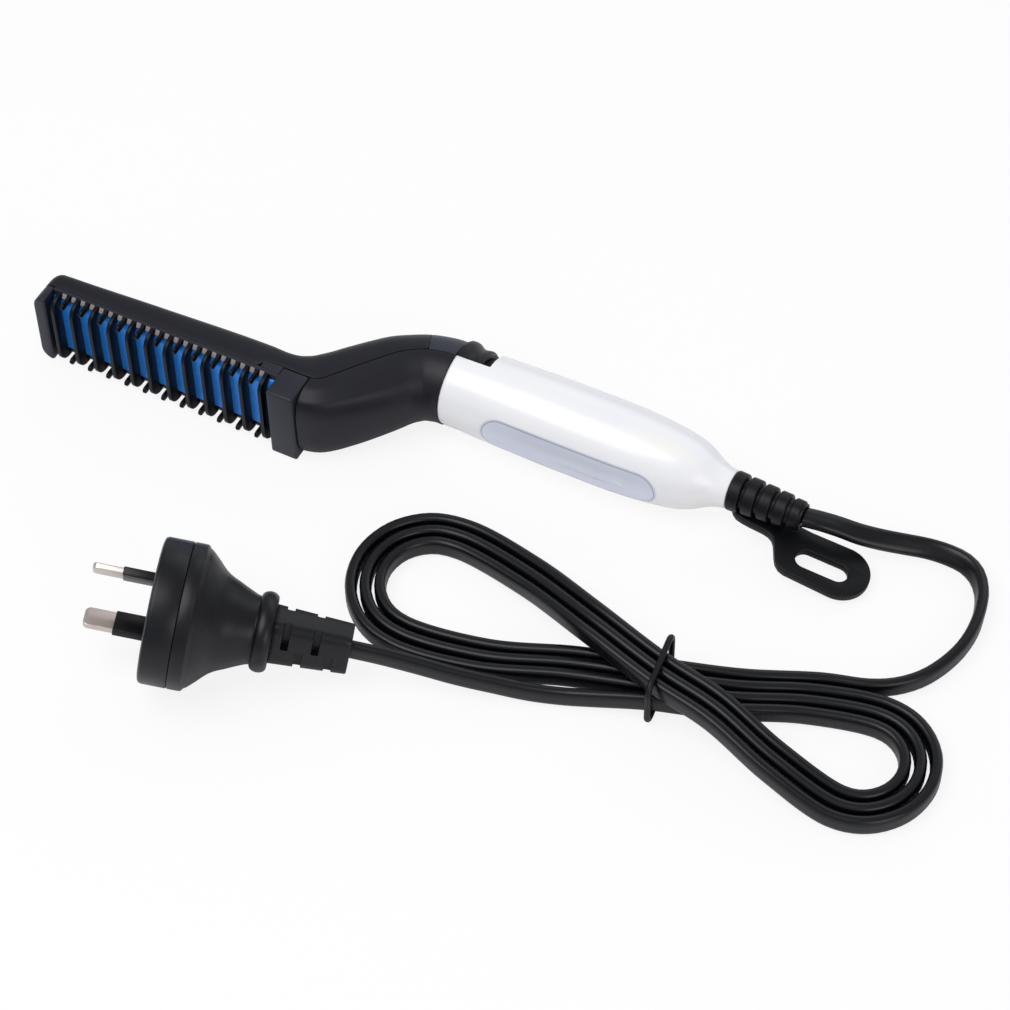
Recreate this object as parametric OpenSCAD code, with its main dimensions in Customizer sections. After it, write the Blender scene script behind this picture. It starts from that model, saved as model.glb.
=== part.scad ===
// Beard straightener: a heated comb on a bent neck, a tubular handle with a slide switch,
// a ribbed bush with a hanging tab, and a flat lead folded into a tied hank. Millimetres.
// The handle lies along X with the neck seam at x = 0. The comb faces -Y. The floor is z = 0.

/* [Handle] */
// Length of the handle sleeve
sleeve_len = 84.5; // [80:0.5:95]
// Radius of the sleeve where it is fullest, which is also half the head's width
sleeve_r = 12.5; // [12.2:0.1:13.2]
// Radius of the sleeve at the seam with the neck
seam_r = 11.7; // [11.4:0.1:12]
// Radius of the sleeve's narrow tail end
tail_r = 5.5; // [5.3:0.1:6]
// Wall of the sleeve
sleeve_wall = 1.4; // [1.2:0.1:1.5]
// Length of the label plate
label_len = 53.5; // [40:0.5:55]
// Width of the label plate
label_w = 12.4; // [9:0.1:13]
// Thickness of the label plate
label_t = 0.2; // [0.15:0.05:0.3]

/* [Slide switch] */
// Length of the notch that the knob slides in
notch_len = 10.6; // [10.4:0.1:12]
// Length of the knob
knob_len = 7.8; // [7:0.1:8]
// Travel of the knob
knob_travel = 2; // [1.5:0.1:2.2]
// Radius of the knob's hump
knob_r = 13; // [12.8:0.1:13.4]
// Gap round the moving pieces
slide_gap = 0.3; // [0.25:0.01:0.4]

/* [Neck] */
// Radius of the neck tube
neck_r = 12; // [11.8:0.1:12.2]
// Wall of the neck and of the head shell
shell_wall = 1.7; // [1.5:0.1:1.8]
// Length of the switch bridge
bridge_len = 7.7; // [7:0.1:9]

/* [Comb head] */
// Distance from the seam to the nose
nose_x = 116.5; // [116.5:0.5:125]
// Number of long ribs
rib_count = 12; // [8:1:12]
// Distance from one long rib to the next
rib_pitch = 6.1; // [6:0.05:6.15]
// Thickness of a long rib
rib_t = 1.2; // [1:0.1:1.4]
// Thickness of a short tooth
tooth_t = 1; // [0.8:0.1:1.2]
// How far the ribs stand forward of the handle's axis
comb_front = 34.3; // [34:0.1:35]
// How far the heater bar's face stands forward of the handle's axis
bar_front = 30.7; // [30.4:0.1:31]
// Half the width of the heater bar
bar_half = 10.2; // [9.8:0.1:10.4]
// Thickness of the heater bar
bar_t = 3.9; // [3.6:0.1:4.2]
// Thickness of the heating element
element_t = 2.2; // [1.8:0.1:2.4]

/* [Bush and hanging tab] */
// Number of rings on the bush
ring_count = 5; // [3:1:5]
// Distance from one ring to the next
ring_pitch = 4.4; // [4.3:0.05:4.6]
// Thickness of the hanging tab
tab_t = 2.5; // [2:0.1:2.8]
// Width of the slot in the tab
slot_w = 5.6; // [4.6:0.1:5.6]
// Length of the slot in the tab
slot_len = 15; // [13:0.1:15]

/* [Lead] */
// Width of the flat lead
cord_w = 5.86; // [5.6:0.01:5.86]
// Thickness of the flat lead
cord_t = 3.4; // [3:0.05:3.4]
// Thickness of the tie round the hank
tie_d = 1.7; // [1.4:0.1:1.8]

/* [Plug] */
// Radius of the plug's disc
disc_r = 19.5; // [19:0.1:20]
// Thickness of the plug's disc
disc_t = 12; // [11.5:0.1:12.4]
// Length of a plug pin outside the plug
pin_len = 17; // [16.6:0.1:17.4]
// Width of a plug pin
pin_w = 6.35; // [6.2:0.01:6.5]
// Thickness of a plug pin
pin_t = 1.6; // [1.5:0.01:1.7]
// Distance of a pin's middle from the plug's axis
pin_r = 7.92; // [7.8:0.01:8]
// Length of the insulation on a pin
pin_sleeve_len = 9; // [8:0.1:10]

/* [Hidden] */
$fn = 64;
eps = 0.01;
far = 60;

// Colours
black = [0.09, 0.09, 0.11];
soft_black = [0.13, 0.13, 0.15];
grey = [0.25, 0.26, 0.29];
pearl = [0.94, 0.93, 0.92];
silver = [0.78, 0.8, 0.85];
blue = [0.1, 0.35, 0.7];
steel = [0.7, 0.68, 0.66];
cream = [0.85, 0.82, 0.7];

// Curves and tubes
function smooth(t) = let (c = min(1, max(0, t))) c * c * (3 - 2 * c);
function unit(v) = v / norm(v);
function slope(p, i) =
    i == 0 || i == len(p) - 1 ? 0 : (p[i + 1][1] - p[i - 1][1]) / (p[i + 1][0] - p[i - 1][0]);
// Height of a soft curve through the points p at x
function curve_at(p, x, i = 0) =
    i < len(p) - 2 && x > p[i + 1][0] ? curve_at(p, x, i + 1) :
    let (d = p[i + 1][0] - p[i][0], t = min(1, max(0, (x - p[i][0]) / d)), u = 1 - t)
    p[i][1] * u * u * (1 + 2 * t) + p[i + 1][1] * t * t * (3 - 2 * t)
        + d * t * u * (u * slope(p, i) - t * slope(p, i + 1));
// Flat end of a tube: triangles across a ring of m points, whose first point has the number at
function cap(m, at) = [for (j = [0:m / 2 - 2])
    let (a = at + j, b = at + j + 1, c = at + m - 2 - j, d = at + m - 1 - j)
        each j < m / 4 ? [[a, d, b], [b, d, c]] : [[a, c, b], [a, d, c]]];
// Skin of a tube whose rings all have m points
function skin(rows, m) = concat(
    cap(m, 0),
    [for (i = [0:rows - 2], j = [0:m - 1]) let (k = (j + 1) % m)
        each [[i * m + j, i * m + k, (i + 1) * m + k], [i * m + j, (i + 1) * m + k, (i + 1) * m + j]]],
    [for (t = cap(m, (rows - 1) * m)) [t[0], t[2], t[1]]]);
module tube(rings) {
    polyhedron([for (r = rings) each r], skin(len(rings), len(rings[0])), convexity = 10);
}
module turned(profile, angle = 360) {
    rotate([0, 90, 0]) rotate_extrude(angle = angle) polygon([for (p = profile) [p[1], p[0]]]);
}
module bar_x(x0, x1, n0, n1, w0, w1) {
    translate([x0, -n1, axis_z + w0]) cube([x1 - x0, n1 - n0, w1 - w0]);
}
module rod_x(x0, x1, n, w, r) {
    translate([x0, -n, axis_z + w]) rotate([0, 90, 0]) cylinder(r = r, h = x1 - x0);
}
module rod_n(n0, n1, x, w, r) {
    translate([x, -n0, axis_z + w]) rotate([90, 0, 0]) cylinder(r = r, h = n1 - n0);
}
module on_axis() { translate([0, 0, axis_z]) children(); }

// Widths that follow the bar: gap, comb rail and head shell beside it
bar_gap = 0.1;
rail_w = 2.1;
comb_half = bar_half + bar_gap + rail_w;
head_half = comb_half + 0.1;
axis_z = max(sleeve_r, head_half);

// Handle
sleeve_curve = [
    [0, seam_r], [14, (seam_r + sleeve_r) / 2], [34, sleeve_r],
    [sleeve_len - 29.5, sleeve_r - 0.2], [sleeve_len - 15.5, sleeve_r - 1.6],
    [sleeve_len - 9.5, sleeve_r - 3.3], [sleeve_len - 4.5, tail_r + 1.1], [sleeve_len, tail_r]
];
sleeve_steps = 28;
function sleeve_at(x) = min(sleeve_r, curve_at(sleeve_curve, x));
sleeve_xs = [for (i = [0:sleeve_steps]) sleeve_len * i / sleeve_steps];
tail_hole_r = tail_r - sleeve_wall;
notch_y = 0.4;

// Chassis that the sleeve slides over
chassis_r = seam_r - sleeve_wall - 0.1;
chassis_wall = 1.6;
chassis_in = chassis_r - chassis_wall;
spigot_r = chassis_r - 0.3;
chassis_x0 = -2.8;
chassis_x1 = 60;
board_front = 2.6;
board_t = 1.6;
board_x0 = -1.5;
board_x1 = 46;
board_half = 7;
rib_xs = [14, 34];
rib_half = 5;
boss_x = [24, 42];
boss_r = 2.4;
screw_r = 1;
screw_head_r = 1.8;
screw_head_h = 1.2;

// Switch
knob_x = slide_gap;
knob_in = chassis_r + 0.15;
post_x = 3;
post_len = 3.2;
post_half = 2.2;
lever_len = 1.8;
lever_half = 1.4;
switch_top = -4.8;
switch_len = 12;
switch_half = 4.4;

// Neck: stations of the tube from the seam to the comb's end block, along the parting line.
// Each has x, n, the front's turn and reach, and the back's turn and reach, as shares of neck_r.
path = [
    [0, 0, 0, 1, 0, 1], [-3, 0.1, 6, 1, 6, 1], [-bridge_len, 1.3, 21, 1, 22, 1],
    [-11, 3.1, 34, 0.99, 37, 1], [-14.4, 5.7, 45, 0.98, 47, 1], [-18.1, 10.1, 52, 0.97, 52, 1],
    [-21.8, 14.9, 52, 0.93, 52, 1], [-25.3, 19.7, 49, 0.86, 48, 1.01],
    [-29.2, 24.6, 30, 0.77, 36, 1.07], [-33, 25.5, 12, 0.78, 31, 0.93],
    [-36.5, 25.5, 4, 0.78, 26, 0.8], [-41, 25.5, 0, 0.78, 15, 0.715],
    [-45.8, 25.5, 0, 0.78, 0, 0.7]
];
seat_depth = 28;
head_joint = 46;
block_x0 = 40;
block_x1 = 31.8;
block_front = 35.5;
block_end = path[12][0];
neck_end = block_x1 - 0.35;
nose_round = 3.8;
back_curve = [[-nose_x, 20.6], [-84, 18.8], [-head_joint, 17]];
cavity_x = nose_x - 4.2;
arc_steps = 14;
// One point of a section: reach b from the path, half width h, squareness p, step i of the arc
function arc_point(b, h, p, i) = let (a = 180 * i / arc_steps - 90)
    [b * pow(cos(a), 2 / p), h * sign(sin(a)) * pow(abs(sin(a)), 2 / p)];
// A C-shaped ring: outer arc, then the inner arc back. side is -1 for the back, 1 for the front
function c_ring(x, n, turn, b, h, p, wall, side) = let (
    outer = [for (i = [0:arc_steps]) arc_point(b, h, p, i)],
    inner = [for (i = [arc_steps:-1:0]) arc_point(max(0.2, b - wall), h - wall, p, i)])
    [for (q = concat(outer, inner)) [
        x + side * q[0] * sin(turn), -n - side * q[0] * cos(turn), axis_z + q[1]]];
// Squareness and half width of the tube at station i of the path
function square_at(i) = 2 + 1.6 * smooth((i - 2) / 7);
function half_at(i) = neck_r + (head_half - neck_r) * smooth((i - 3) / 7);
function path_ring(i, side) = let (s = path[i])
    c_ring(s[0], s[1], side > 0 ? s[2] : s[4], neck_r * (side > 0 ? s[3] : s[5]), half_at(i),
        square_at(i), shell_wall, side);
// Reach of the head's back behind the comb seat, and the shrink of its nose
function nose_cut(x) = let (d = max(0, nose_round - (nose_x + x)))
    nose_round - sqrt(max(0, nose_round * nose_round - d * d));
function head_ring(x, wall) = c_ring(x, seat_depth, 0,
    seat_depth - curve_at(back_curve, x) - 0.8 * nose_cut(x), head_half - nose_cut(x), 4.2, wall, -1);
head_xs = [-head_joint, -52, -60, -70, -80, -90, -100, -cavity_x];
nose_steps = [0.7, 0.5, 0.32, 0.18, 0.06, 0];

// Route of one heater lead from the board to the element: x, n and distance from the middle
wire_r = 0.75;
leads_route = [
    [-1.7, 3.4, 2.6], [-5, 3.4, 2.6], [-9.5, 5, 2.6], [-13, 7.6, 2.6], [-18, 13.5, 2.6],
    [-23, 19.5, 3], [-28, 22.8, 4.2], [-34, 24.1, 5.8], [-40, 24.4, 6.4], [-45, 25, 6.4],
    [-49.9, 25.4, 6.4]
];

// Comb
rail_front = 29.2;
rib_x0 = block_x0 + 2.4;
rib_round = 4;
bar_x0 = nose_x - 4.1;
bar_chamfer = 1.3;
film_t = 0.3;
film_half = bar_half - 2.6;
clamp_pad_half = film_half - 2.1;
heater_screw_w = 3;
clamp_t = 1;
element_x = [-102, -50];
fuse_x = [-62, -52];
fuse_r = 1.4;
pan_head_h = 0.8;
bar_back = bar_front - bar_t;
film_back = bar_back - element_t - 2 * film_t;
pad_len = 4;
heater_screw_xs = [-element_x[0] + pad_len, -element_x[1] - pad_len];
nose_plate_t = 4;
function arc(cx, cy, r, a0, a1, n = 6) =
    [for (i = [0:n]) let (a = a0 + (a1 - a0) * i / n) [cx + r * cos(a), cy + r * sin(a)]];

// Bush, tab and what passes through them
flange_x = sleeve_len - 12;
flange_len = 2.5;
flange_r = 6.6;
relief_end = sleeve_len + ring_count * ring_pitch - 0.9;
ring_rs = [5.65, 5.4, 5.1, 4.8, 4.3];
ring_w = 3;
relief_core = 4.1;
tab_drop = 7.6;
tab_x = sleeve_len + 1.3;
tab_root_z = 6.3;
tab_end = 42;
tab_round = 8.2;
tab_y = -6.2;
slot_x = 28.7;
slot_y = -7.4;
slot_turn = 3;
clamp_x = [51, 58];
clamp_half = 7;
clamp_back = 6.5;
clamp_screw_w = 4.2;
clamp_screw_x = (clamp_x[0] + clamp_x[1]) / 2;
clamp_seat = 4;
screw_tip = 5.8;
screw_seat = 6;
inlet_x = clamp_x[0] - 4.5;
lead_gap = 0.05;

lead_x = relief_end;

// Plug: its own axis runs from the middle of its face to the end of its bush
plug_yaw = 20.3;
plug_pitch = 10.3;
plug_roll = -13;
plug_x = -136.1;
plug_y = -111.1;
collar_x = 27.5;
collar_len = 4.6;
collar_r = 10.75;
throat_r = 9.1;
groove_x = 7.8;
bush_len = 20.6;
bush_half = [7.1, 6.2];
bush_thick = [5.6, 4.6];
flex_x = 2.6;
flex_pitch = 8;
flex_w = 2;
flex_mid = -0.3;
flex_core = 2.6;
plug_z = disc_r * cos(plug_pitch) + disc_t * sin(plug_pitch) + 0.02;
plug_len = collar_x + collar_len + bush_len;
plug_dir = [cos(plug_pitch) * cos(plug_yaw), cos(plug_pitch) * sin(plug_yaw), -sin(plug_pitch)];
plug_end = [lead_x + plug_x + plug_len * plug_dir[0], plug_y + plug_len * plug_dir[1],
    plug_z + plug_len * plug_dir[2], 0];
pin_angles = [-84, 36];
pin_root = 6;
bell = [[disc_t, disc_r - 1], [disc_t + 2.1, 17], [disc_t + 5.9, 13.4], [disc_t + 10.1, 11.3],
    [disc_t + 13.6, 9.7], [collar_x, throat_r]];

// Route of the lead from the bush to the hank: x past the bush's end, y, z, and its roll
lead_points = [
    [0, 0, 12.5, -90], [4, 0.9, 12.2, -88], [9, 2.6, 10.6, -80], [14.5, 4.6, 8.2, -68],
    [20, 7, 6.2, -60], [26, 9.6, 4.7, -54], [32, 11.7, 3.8, -50], [37.6, 12.5, 3.3, -44],
    [42.6, 12, 3.1, -34], [46.8, 9.6, 3, -22], [50, 5.2, 2.95, -12], [52, -0.8, 2.95, -5],
    [52.9, -8, 2.95, 0], [52.3, -15.2, 2.95, 0], [50.1, -22.4, 2.95, 0], [46.6, -28.8, 2.95, 0],
    [41.6, -33.9, 2.95, 0], [35.6, -37.4, 3, 0]
];
// Route from the plug's bush to the hank
tail_points = [
    [-80.1, -90.6, 10.5, 0], [-70.8, -87.8, 8.6, 0], [-61, -85.1, 6.7, 0], [-51.5, -82, 5, 0],
    [-42.6, -79.2, 3.8, 0], [-34, -76.1, 3.4, 0], [-26.2, -73.4, 4.1, 0]
];
lead_sides = [[0.5, 1], [1, 0.6], [1, -0.6], [0.5, -1], [-0.5, -1], [-1, -0.6], [-1, 0.6], [-0.5, 1]];
hank_sides = [[0, 1], [1, 0.55], [1, -0.55], [0, -1], [-1, -0.55], [-1, 0.55]];
// Ring of a flat lead: the long side stands upright at roll 0
function flat_ring(p, dir, sides) = let (
    across = unit(cross(dir, [0, 0, 1])), up = cross(across, dir), roll = p[3])
    [for (s = sides) let (a = s[0] * cord_t / 2, b = s[1] * cord_w / 2)
        [p[0], p[1], p[2]] + across * (a * cos(roll) + b * sin(roll))
            + up * (b * cos(roll) - a * sin(roll))];
function place3(p) = [p[0], p[1], p[2]];
function heading(r, i) =
    unit(place3(r[min(len(r) - 1, i + 1)]) - place3(r[max(0, i - 1)]));
function flat_rings(r, sides, first = undef, last = undef) = [for (i = [0:len(r) - 1])
    flat_ring(r[i], i == 0 && first != undef ? first :
        i == len(r) - 1 && last != undef ? last : heading(r, i), sides)];

// Hank: a figure of eight, whose strands from the left lobe's front pass under at the waist
hank_x = -13.3;
hank_y = -60.8;
lobe_left = 82.5;
lobe_right = 67.5;
round_left = 14.2;
round_right = 11.4;
lobe_step = 4;
waist_shift = 2.5;
waist_share = 0.35;
hank_bow = 1.2;
strand_low = 2.95;
under_lift = 2.3;
under_reach = 45;
over_lift = 8.7;
over_flat = 18;
over_reach = 44;
rings_per_loop = 24;
lobe_rings = 6;
hank_loops = 3;
hank_last = hank_loops * rings_per_loop + 2;
run_rings = (rings_per_loop / 2 - lobe_rings) / 2;
run_left = lobe_left - round_left;
run_right = lobe_right - round_right;
function lobe_at(x, r, a) = [x + r * cos(a), r * sin(a)];
// Place on a strand's way out from the waist to a lobe, which keeps the strands side by side
function run_at(x, full, waist, reach) = let (u = abs(x) / full)
    [x, waist + (reach - waist)
        * (waist_share * sin(90 * u) + (1 - waist_share) * (1 - cos(180 * u)) / 2)];
function waist_at(r_right, r_left) =
    (run_left * r_right - run_right * r_left) / (run_left + run_right);
// Place at ring t of a loop: 0 is the waist on the lower level, going to the right lobe's back
function loop_place(t, r_right, r_in, r_out) = let (
    half = rings_per_loop / 2, turn = 180 / lobe_rings,
    under = waist_at(r_right, r_in) - waist_shift, over = -waist_at(r_right, r_out) - waist_shift)
    t < -run_rings ? lobe_at(-run_left, r_in, 270 + (t + run_rings) * turn) :
    t < 0 ? run_at(run_left * t / run_rings, run_left, under, -r_in) :
    t <= run_rings ? run_at(run_right * t / run_rings, run_right, under, r_right) :
    t <= half - run_rings ? lobe_at(run_right, r_right, 90 - (t - run_rings) * turn) :
    t <= half ? run_at(run_right * (half - t) / run_rings, run_right, over, -r_right) :
    t <= half + run_rings ? run_at(run_left * (half - t) / run_rings, run_left, over, r_out) :
    lobe_at(-run_left, r_out, 90 + (t - half - run_rings) * turn);
function hank_point(i) = let (
    loop = floor(i / rings_per_loop + 0.25), t = i - loop * rings_per_loop,
    r_in = round_left + (hank_loops - loop) * lobe_step,
    p = loop_place(t, round_right + loop * lobe_step, r_in, r_in - lobe_step),
    lift = t > rings_per_loop / 4 ? over_lift * (1 - smooth((abs(p[0]) - over_flat) / over_reach)) :
        under_lift * (1 - smooth(abs(p[0]) / under_reach)))
    [lead_x + hank_x + p[0], hank_y + p[1] + hank_bow * pow(p[0] / 70, 2), strand_low + lift, 0];
hank_route = [for (i = [0:hank_last]) hank_point(i)];
hank_n = len(hank_route);
hank_start_dir = unit(place3(hank_route[1]) - place3(hank_route[0]));
hank_end_dir = unit(place3(hank_route[hank_n - 1]) - place3(hank_route[hank_n - 2]));
function run_on(p, dir, d) = [p[0] + dir[0] * d, p[1] + dir[1] * d, p[2] + dir[2] * d, p[3]];
hank_full = concat([run_on(hank_route[0], hank_start_dir, -cord_w)], hank_route,
    [run_on(hank_route[hank_n - 1], hank_end_dir, cord_w)]);
hank_rings = flat_rings(hank_full, hank_sides, hank_start_dir, hank_end_dir);
lead_route = concat([for (p = lead_points) [lead_x + p[0], p[1], p[2] == 12.5 ? axis_z : p[2], p[3]]],
    [hank_full[hank_n + 1]]);
tail_route = concat([plug_end], [for (p = tail_points) [lead_x + p[0], p[1], p[2], p[3]]],
    [hank_full[0]]);

// Tie
tie_x = -13;
tie_turn = 7;
tie_gap = 0.35;
tie_slack = 1;
tie_steps = 6;
tie_bend = 2.5;
tie_room = cord_t / 2 + tie_gap + tie_slack;
tie_out = waist_shift - waist_at(round_right, round_left + hank_loops * lobe_step) + tie_room;
tie_in = waist_at(round_right + hank_loops * lobe_step, round_left) - waist_shift + tie_room;
tie_low = tie_d + 0.02;
tie_top = strand_low + over_lift + cord_w / 2 + tie_gap;

// The whole object stands with the middle of its own box on the origin, lead and plug apart
tab_tip = tab_x + tab_end * cos(tab_drop) + tab_t * sin(tab_drop);
box_mid_x = (tab_tip - nose_x) / 2;
box_mid_y = (knob_r - block_front) / 2;
module placed() { translate([-box_mid_x, -box_mid_y, 0]) children(); }

module head_shell() color(soft_black) placed() {
    low = [for (x = head_xs) head_ring(x, shell_wall)];
    nose = [for (s = nose_steps) head_ring(-nose_x + nose_round * s, shell_wall)];
    solid_rings = [for (r = nose) let (m = arc_steps + 1) [for (i = [0:2 * m - 1])
        i < m ? r[i] : [r[i][0], -seat_depth,
            r[m - 1][2] + (r[0][2] - r[m - 1][2]) * (i - m + 1) / (m + 1)]]];
    neck = [for (i = [2:len(path) - 1]) path_ring(i, -1)];
    tube(concat(neck, low, solid_rings));
}

module neck_front() color(soft_black) placed() difference() {
    tube([for (i = [len(path) - 3:-1:0]) path_ring(i, 1)]);
    translate([-far - neck_end, -far, -far]) cube([far, 2 * far, 3 * far]);
}

module switch_bridge() color(grey) placed()
    tube([for (i = [0:2]) path_ring(i, -1)]);

module rib_outline(top, half, round_r) {
    base = rail_front;
    polygon(concat(
        [[-half, base]], [[-half, top - round_r]],
        arc(-half + round_r, top - round_r, round_r, 180, 90),
        arc(half - round_r, top - round_r, round_r, 90, 0), [[half, base]],
        [[bar_half + bar_gap, base], [bar_half + bar_gap, bar_front - bar_chamfer]],
        [[bar_half + bar_gap - bar_chamfer, bar_front], [-bar_half - bar_gap + bar_chamfer, bar_front]],
        [[-bar_half - bar_gap, bar_front - bar_chamfer], [-bar_half - bar_gap, base]]));
}
// Stands an outline of (w, n) up across the head at x, t thick
module across_head(x, t) {
    translate([-x, 0, axis_z]) rotate([90, 0, 90]) linear_extrude(t) rotate(90) children();
}

module comb_ribs() color(black) placed()
    for (i = [0:rib_count - 1]) across_head(rib_x0 + i * rib_pitch + rib_t, rib_t)
        rib_outline(comb_front, comb_half, rib_round);

module tooth() {
    polygon(concat([[0, rail_front]], arc(rail_w / 2, comb_front - 0.4 - rail_w / 2, rail_w / 2, 180, 0, 8),
        [[rail_w, rail_front]]));
}

module comb_teeth() color(black) placed()
    for (i = [0:rib_count - 2], flip = [0, 1])
        across_head(rib_x0 + (i + 0.5) * rib_pitch + (rib_t + tooth_t) / 2, tooth_t)
            mirror([flip, 0]) translate([bar_half + bar_gap, 0]) tooth();

module comb_cage() color(black) placed() {
    difference() {
        union() {
            for (low = [-comb_half, bar_half + bar_gap]) bar_x(-nose_x + nose_plate_t - eps,
                -block_x0 + eps, seat_depth, rail_front, low, low + rail_w);
            translate([0, 0, axis_z - head_half]) linear_extrude(2 * head_half) polygon([
                [block_end, -seat_depth], [block_end, -path[11][1]], [-block_x1, -path[11][1]],
                [-block_x1, 0.6 - block_front], [-block_x1 - 0.6, -block_front],
                [-block_x0 + 0.6, -block_front], [-block_x0, 0.6 - block_front], [-block_x0, -seat_depth]]);
            nose_plate();
        }
        bar_x(-head_joint - 1, -block_x0, 0, rail_front + 1, -bar_half - bar_gap, bar_half + bar_gap);
    }
}
// Upright plate at the nose, round at its corners as the shell behind it
module nose_plate() {
    outline = concat(
        arc(-nose_x + nose_round, axis_z - head_half + nose_round, nose_round, 180, 270),
        [[-nose_x + nose_round + 0.3, axis_z - head_half], [-nose_x + nose_round + 0.3, axis_z + head_half]],
        arc(-nose_x + nose_round, axis_z + head_half - nose_round, nose_round, 90, 180));
    intersection() {
        rotate([90, 0, 0]) linear_extrude(comb_front) polygon(outline);
        translate([-nose_x, -comb_front, 0]) cube([nose_plate_t, comb_front - seat_depth, 2 * axis_z]);
    }
}

module heater_bar() color(blue) placed() difference() {
    translate([-bar_x0, 0, axis_z]) rotate([90, 0, 90]) linear_extrude(bar_x0 - block_x0)
        polygon([[-bar_back, -bar_half], [-bar_front + bar_chamfer, -bar_half],
            [-bar_front, -bar_half + bar_chamfer], [-bar_front, bar_half - bar_chamfer],
            [-bar_front + bar_chamfer, bar_half], [-bar_back, bar_half]]);
    for (x = heater_screw_xs, w = [-heater_screw_w, heater_screw_w])
        rod_n(bar_back - 1, bar_back + 2.6, -x, w, screw_r);
}

module heating_element() color(cream) placed()
    bar_x(element_x[0], element_x[1], film_back + film_t, bar_back - film_t,
        -film_half + film_t, film_half - film_t);

module insulation_film() color("orange") placed() difference() {
    bar_x(element_x[0] - film_t, element_x[1] + film_t, film_back, bar_back, -film_half, film_half);
    bar_x(element_x[0], element_x[1] + 1, film_back + film_t, bar_back - film_t,
        -film_half + film_t, film_half - film_t);
}

module heater_clamp() color(steel) placed() difference() {
    x0 = -heater_screw_xs[0] - pad_len / 2;
    x1 = -heater_screw_xs[1] + pad_len / 2;
    union() {
        bar_x(x0, x1, film_back - clamp_t, film_back, -clamp_pad_half, clamp_pad_half);
        bar_x(x0, x0 + pad_len, film_back, bar_back, -clamp_pad_half, clamp_pad_half);
        bar_x(x1 - pad_len, x1, film_back, bar_back, -clamp_pad_half, clamp_pad_half);
    }
    for (x = heater_screw_xs, w = [-heater_screw_w, heater_screw_w])
        rod_n(film_back - 3, bar_back + 1, -x, w, screw_r + 0.1);
}

module heater_screws() color(silver) placed()
    for (x = heater_screw_xs, w = [-heater_screw_w, heater_screw_w]) {
        rod_n(film_back - clamp_t, bar_back + 2.5, -x, w, screw_r);
        rod_n(film_back - clamp_t - pan_head_h, film_back - clamp_t, -x, w, screw_head_r);
    }

module thermal_fuse() color("tan") placed()
    rod_x(fuse_x[0], fuse_x[1], film_back - clamp_t - fuse_r, 0, fuse_r);

// Half of the chassis tube: y above 0 is the back half
module chassis_half() on_axis() turned([
    [chassis_x0, chassis_in], [chassis_x0, spigot_r - 0.4], [chassis_x0 + 0.4, spigot_r],
    [0.05, spigot_r], [0.05, chassis_r], [chassis_x1, chassis_r], [chassis_x1, chassis_in]], 180);

module chassis_front() color(black) placed() difference() {
    union() {
        mirror([0, 1, 0]) chassis_half();
        intersection() {
            union() {
                for (x = rib_xs) bar_x(x, x + 2, board_front + board_t, chassis_r, -rib_half, rib_half);
                for (x = boss_x) rod_n(0, chassis_r, x, 0, boss_r);
                bar_x(clamp_x[0], clamp_x[1], cord_w / 2, chassis_r, -clamp_half, clamp_half);
            }
            on_axis() turned([[0, 0], [0, chassis_in + eps],
                [chassis_x1, chassis_in + eps], [chassis_x1, 0]]);
        }
    }
    for (x = boss_x) rod_n(-1, screw_tip + 0.2, x, 0, screw_r);
    for (w = [-1, 1]) rod_n(-1, screw_tip + 0.2, clamp_screw_x, w * clamp_screw_w, screw_r);
}

module chassis_back() color(black) placed() difference() {
    union() {
        chassis_half();
        for (x = boss_x) rod_n(-chassis_in - 0.5, 0, x, 0, boss_r);
    }
    bar_x(post_x - 0.6, post_x + post_len + knob_travel + 0.6, -far, -5, -post_half - 0.6, post_half + 0.6);
    for (x = boss_x) {
        rod_n(-far, 1, x, 0, screw_r + 0.1);
        rod_n(-far, -screw_seat, x, 0, screw_head_r + 0.1);
    }
}

module chassis_screws() color(silver) placed() for (x = boss_x) {
    rod_n(-screw_seat, screw_tip, x, 0, screw_r);
    rod_n(-screw_seat - screw_head_h, -screw_seat, x, 0, screw_head_r);
}

module circuit_board() color("seagreen") placed() difference() {
    bar_x(board_x0, board_x1, board_front, board_front + board_t, -board_half, board_half);
    for (x = boss_x) rod_n(0, far, x, 0, boss_r + 0.2);
}

module board_resistor() color("tan") placed() rod_x(28, 37, board_front - 1.7, 3.6, 1.7);

module board_diode() color(black) placed() rod_x(29, 34, board_front - 1.3, -4, 1.3);

module switch_body() color(grey) placed() difference() {
    bar_x(-1, switch_len - 1, switch_top, board_front, -switch_half, switch_half);
    bar_x(post_x + 0.7 - slide_gap, post_x + 0.7 + lever_len + knob_travel + slide_gap,
        switch_top - 1, -3, -lever_half - slide_gap, lever_half + slide_gap);
}

module switch_lever() color(steel) placed()
    bar_x(post_x + 0.7, post_x + 0.7 + lever_len, -8.4, -3 - slide_gap, -lever_half, lever_half);

module switch_knob() color(black) placed() {
    top = sleeve_r - 0.2;
    intersection() {
        on_axis() turned(concat([[knob_x, knob_in], [knob_x, knob_r - 0.5], [knob_x + 0.5, knob_r]],
            [for (i = [0:6]) [knob_x + 3.4 + i * 0.45,
                knob_r - 0.9 * (1 - cos(180 * i / 6)) / 2]],
            [[knob_x + knob_len - 0.3, knob_r - 0.9], [knob_x + knob_len, knob_r - 1.2],
                [knob_x + knob_len, knob_in]]), 180);
        translate([0, notch_y + 0.15, axis_z - top]) cube([far, far, 2 * top]);
    }
    difference() {
        bar_x(post_x, post_x + post_len, -knob_in - 0.4, -5.4, -post_half, post_half);
        bar_x(post_x + 0.7, post_x + 0.7 + lever_len, -8.4, 0, -lever_half, lever_half);
    }
}

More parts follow.
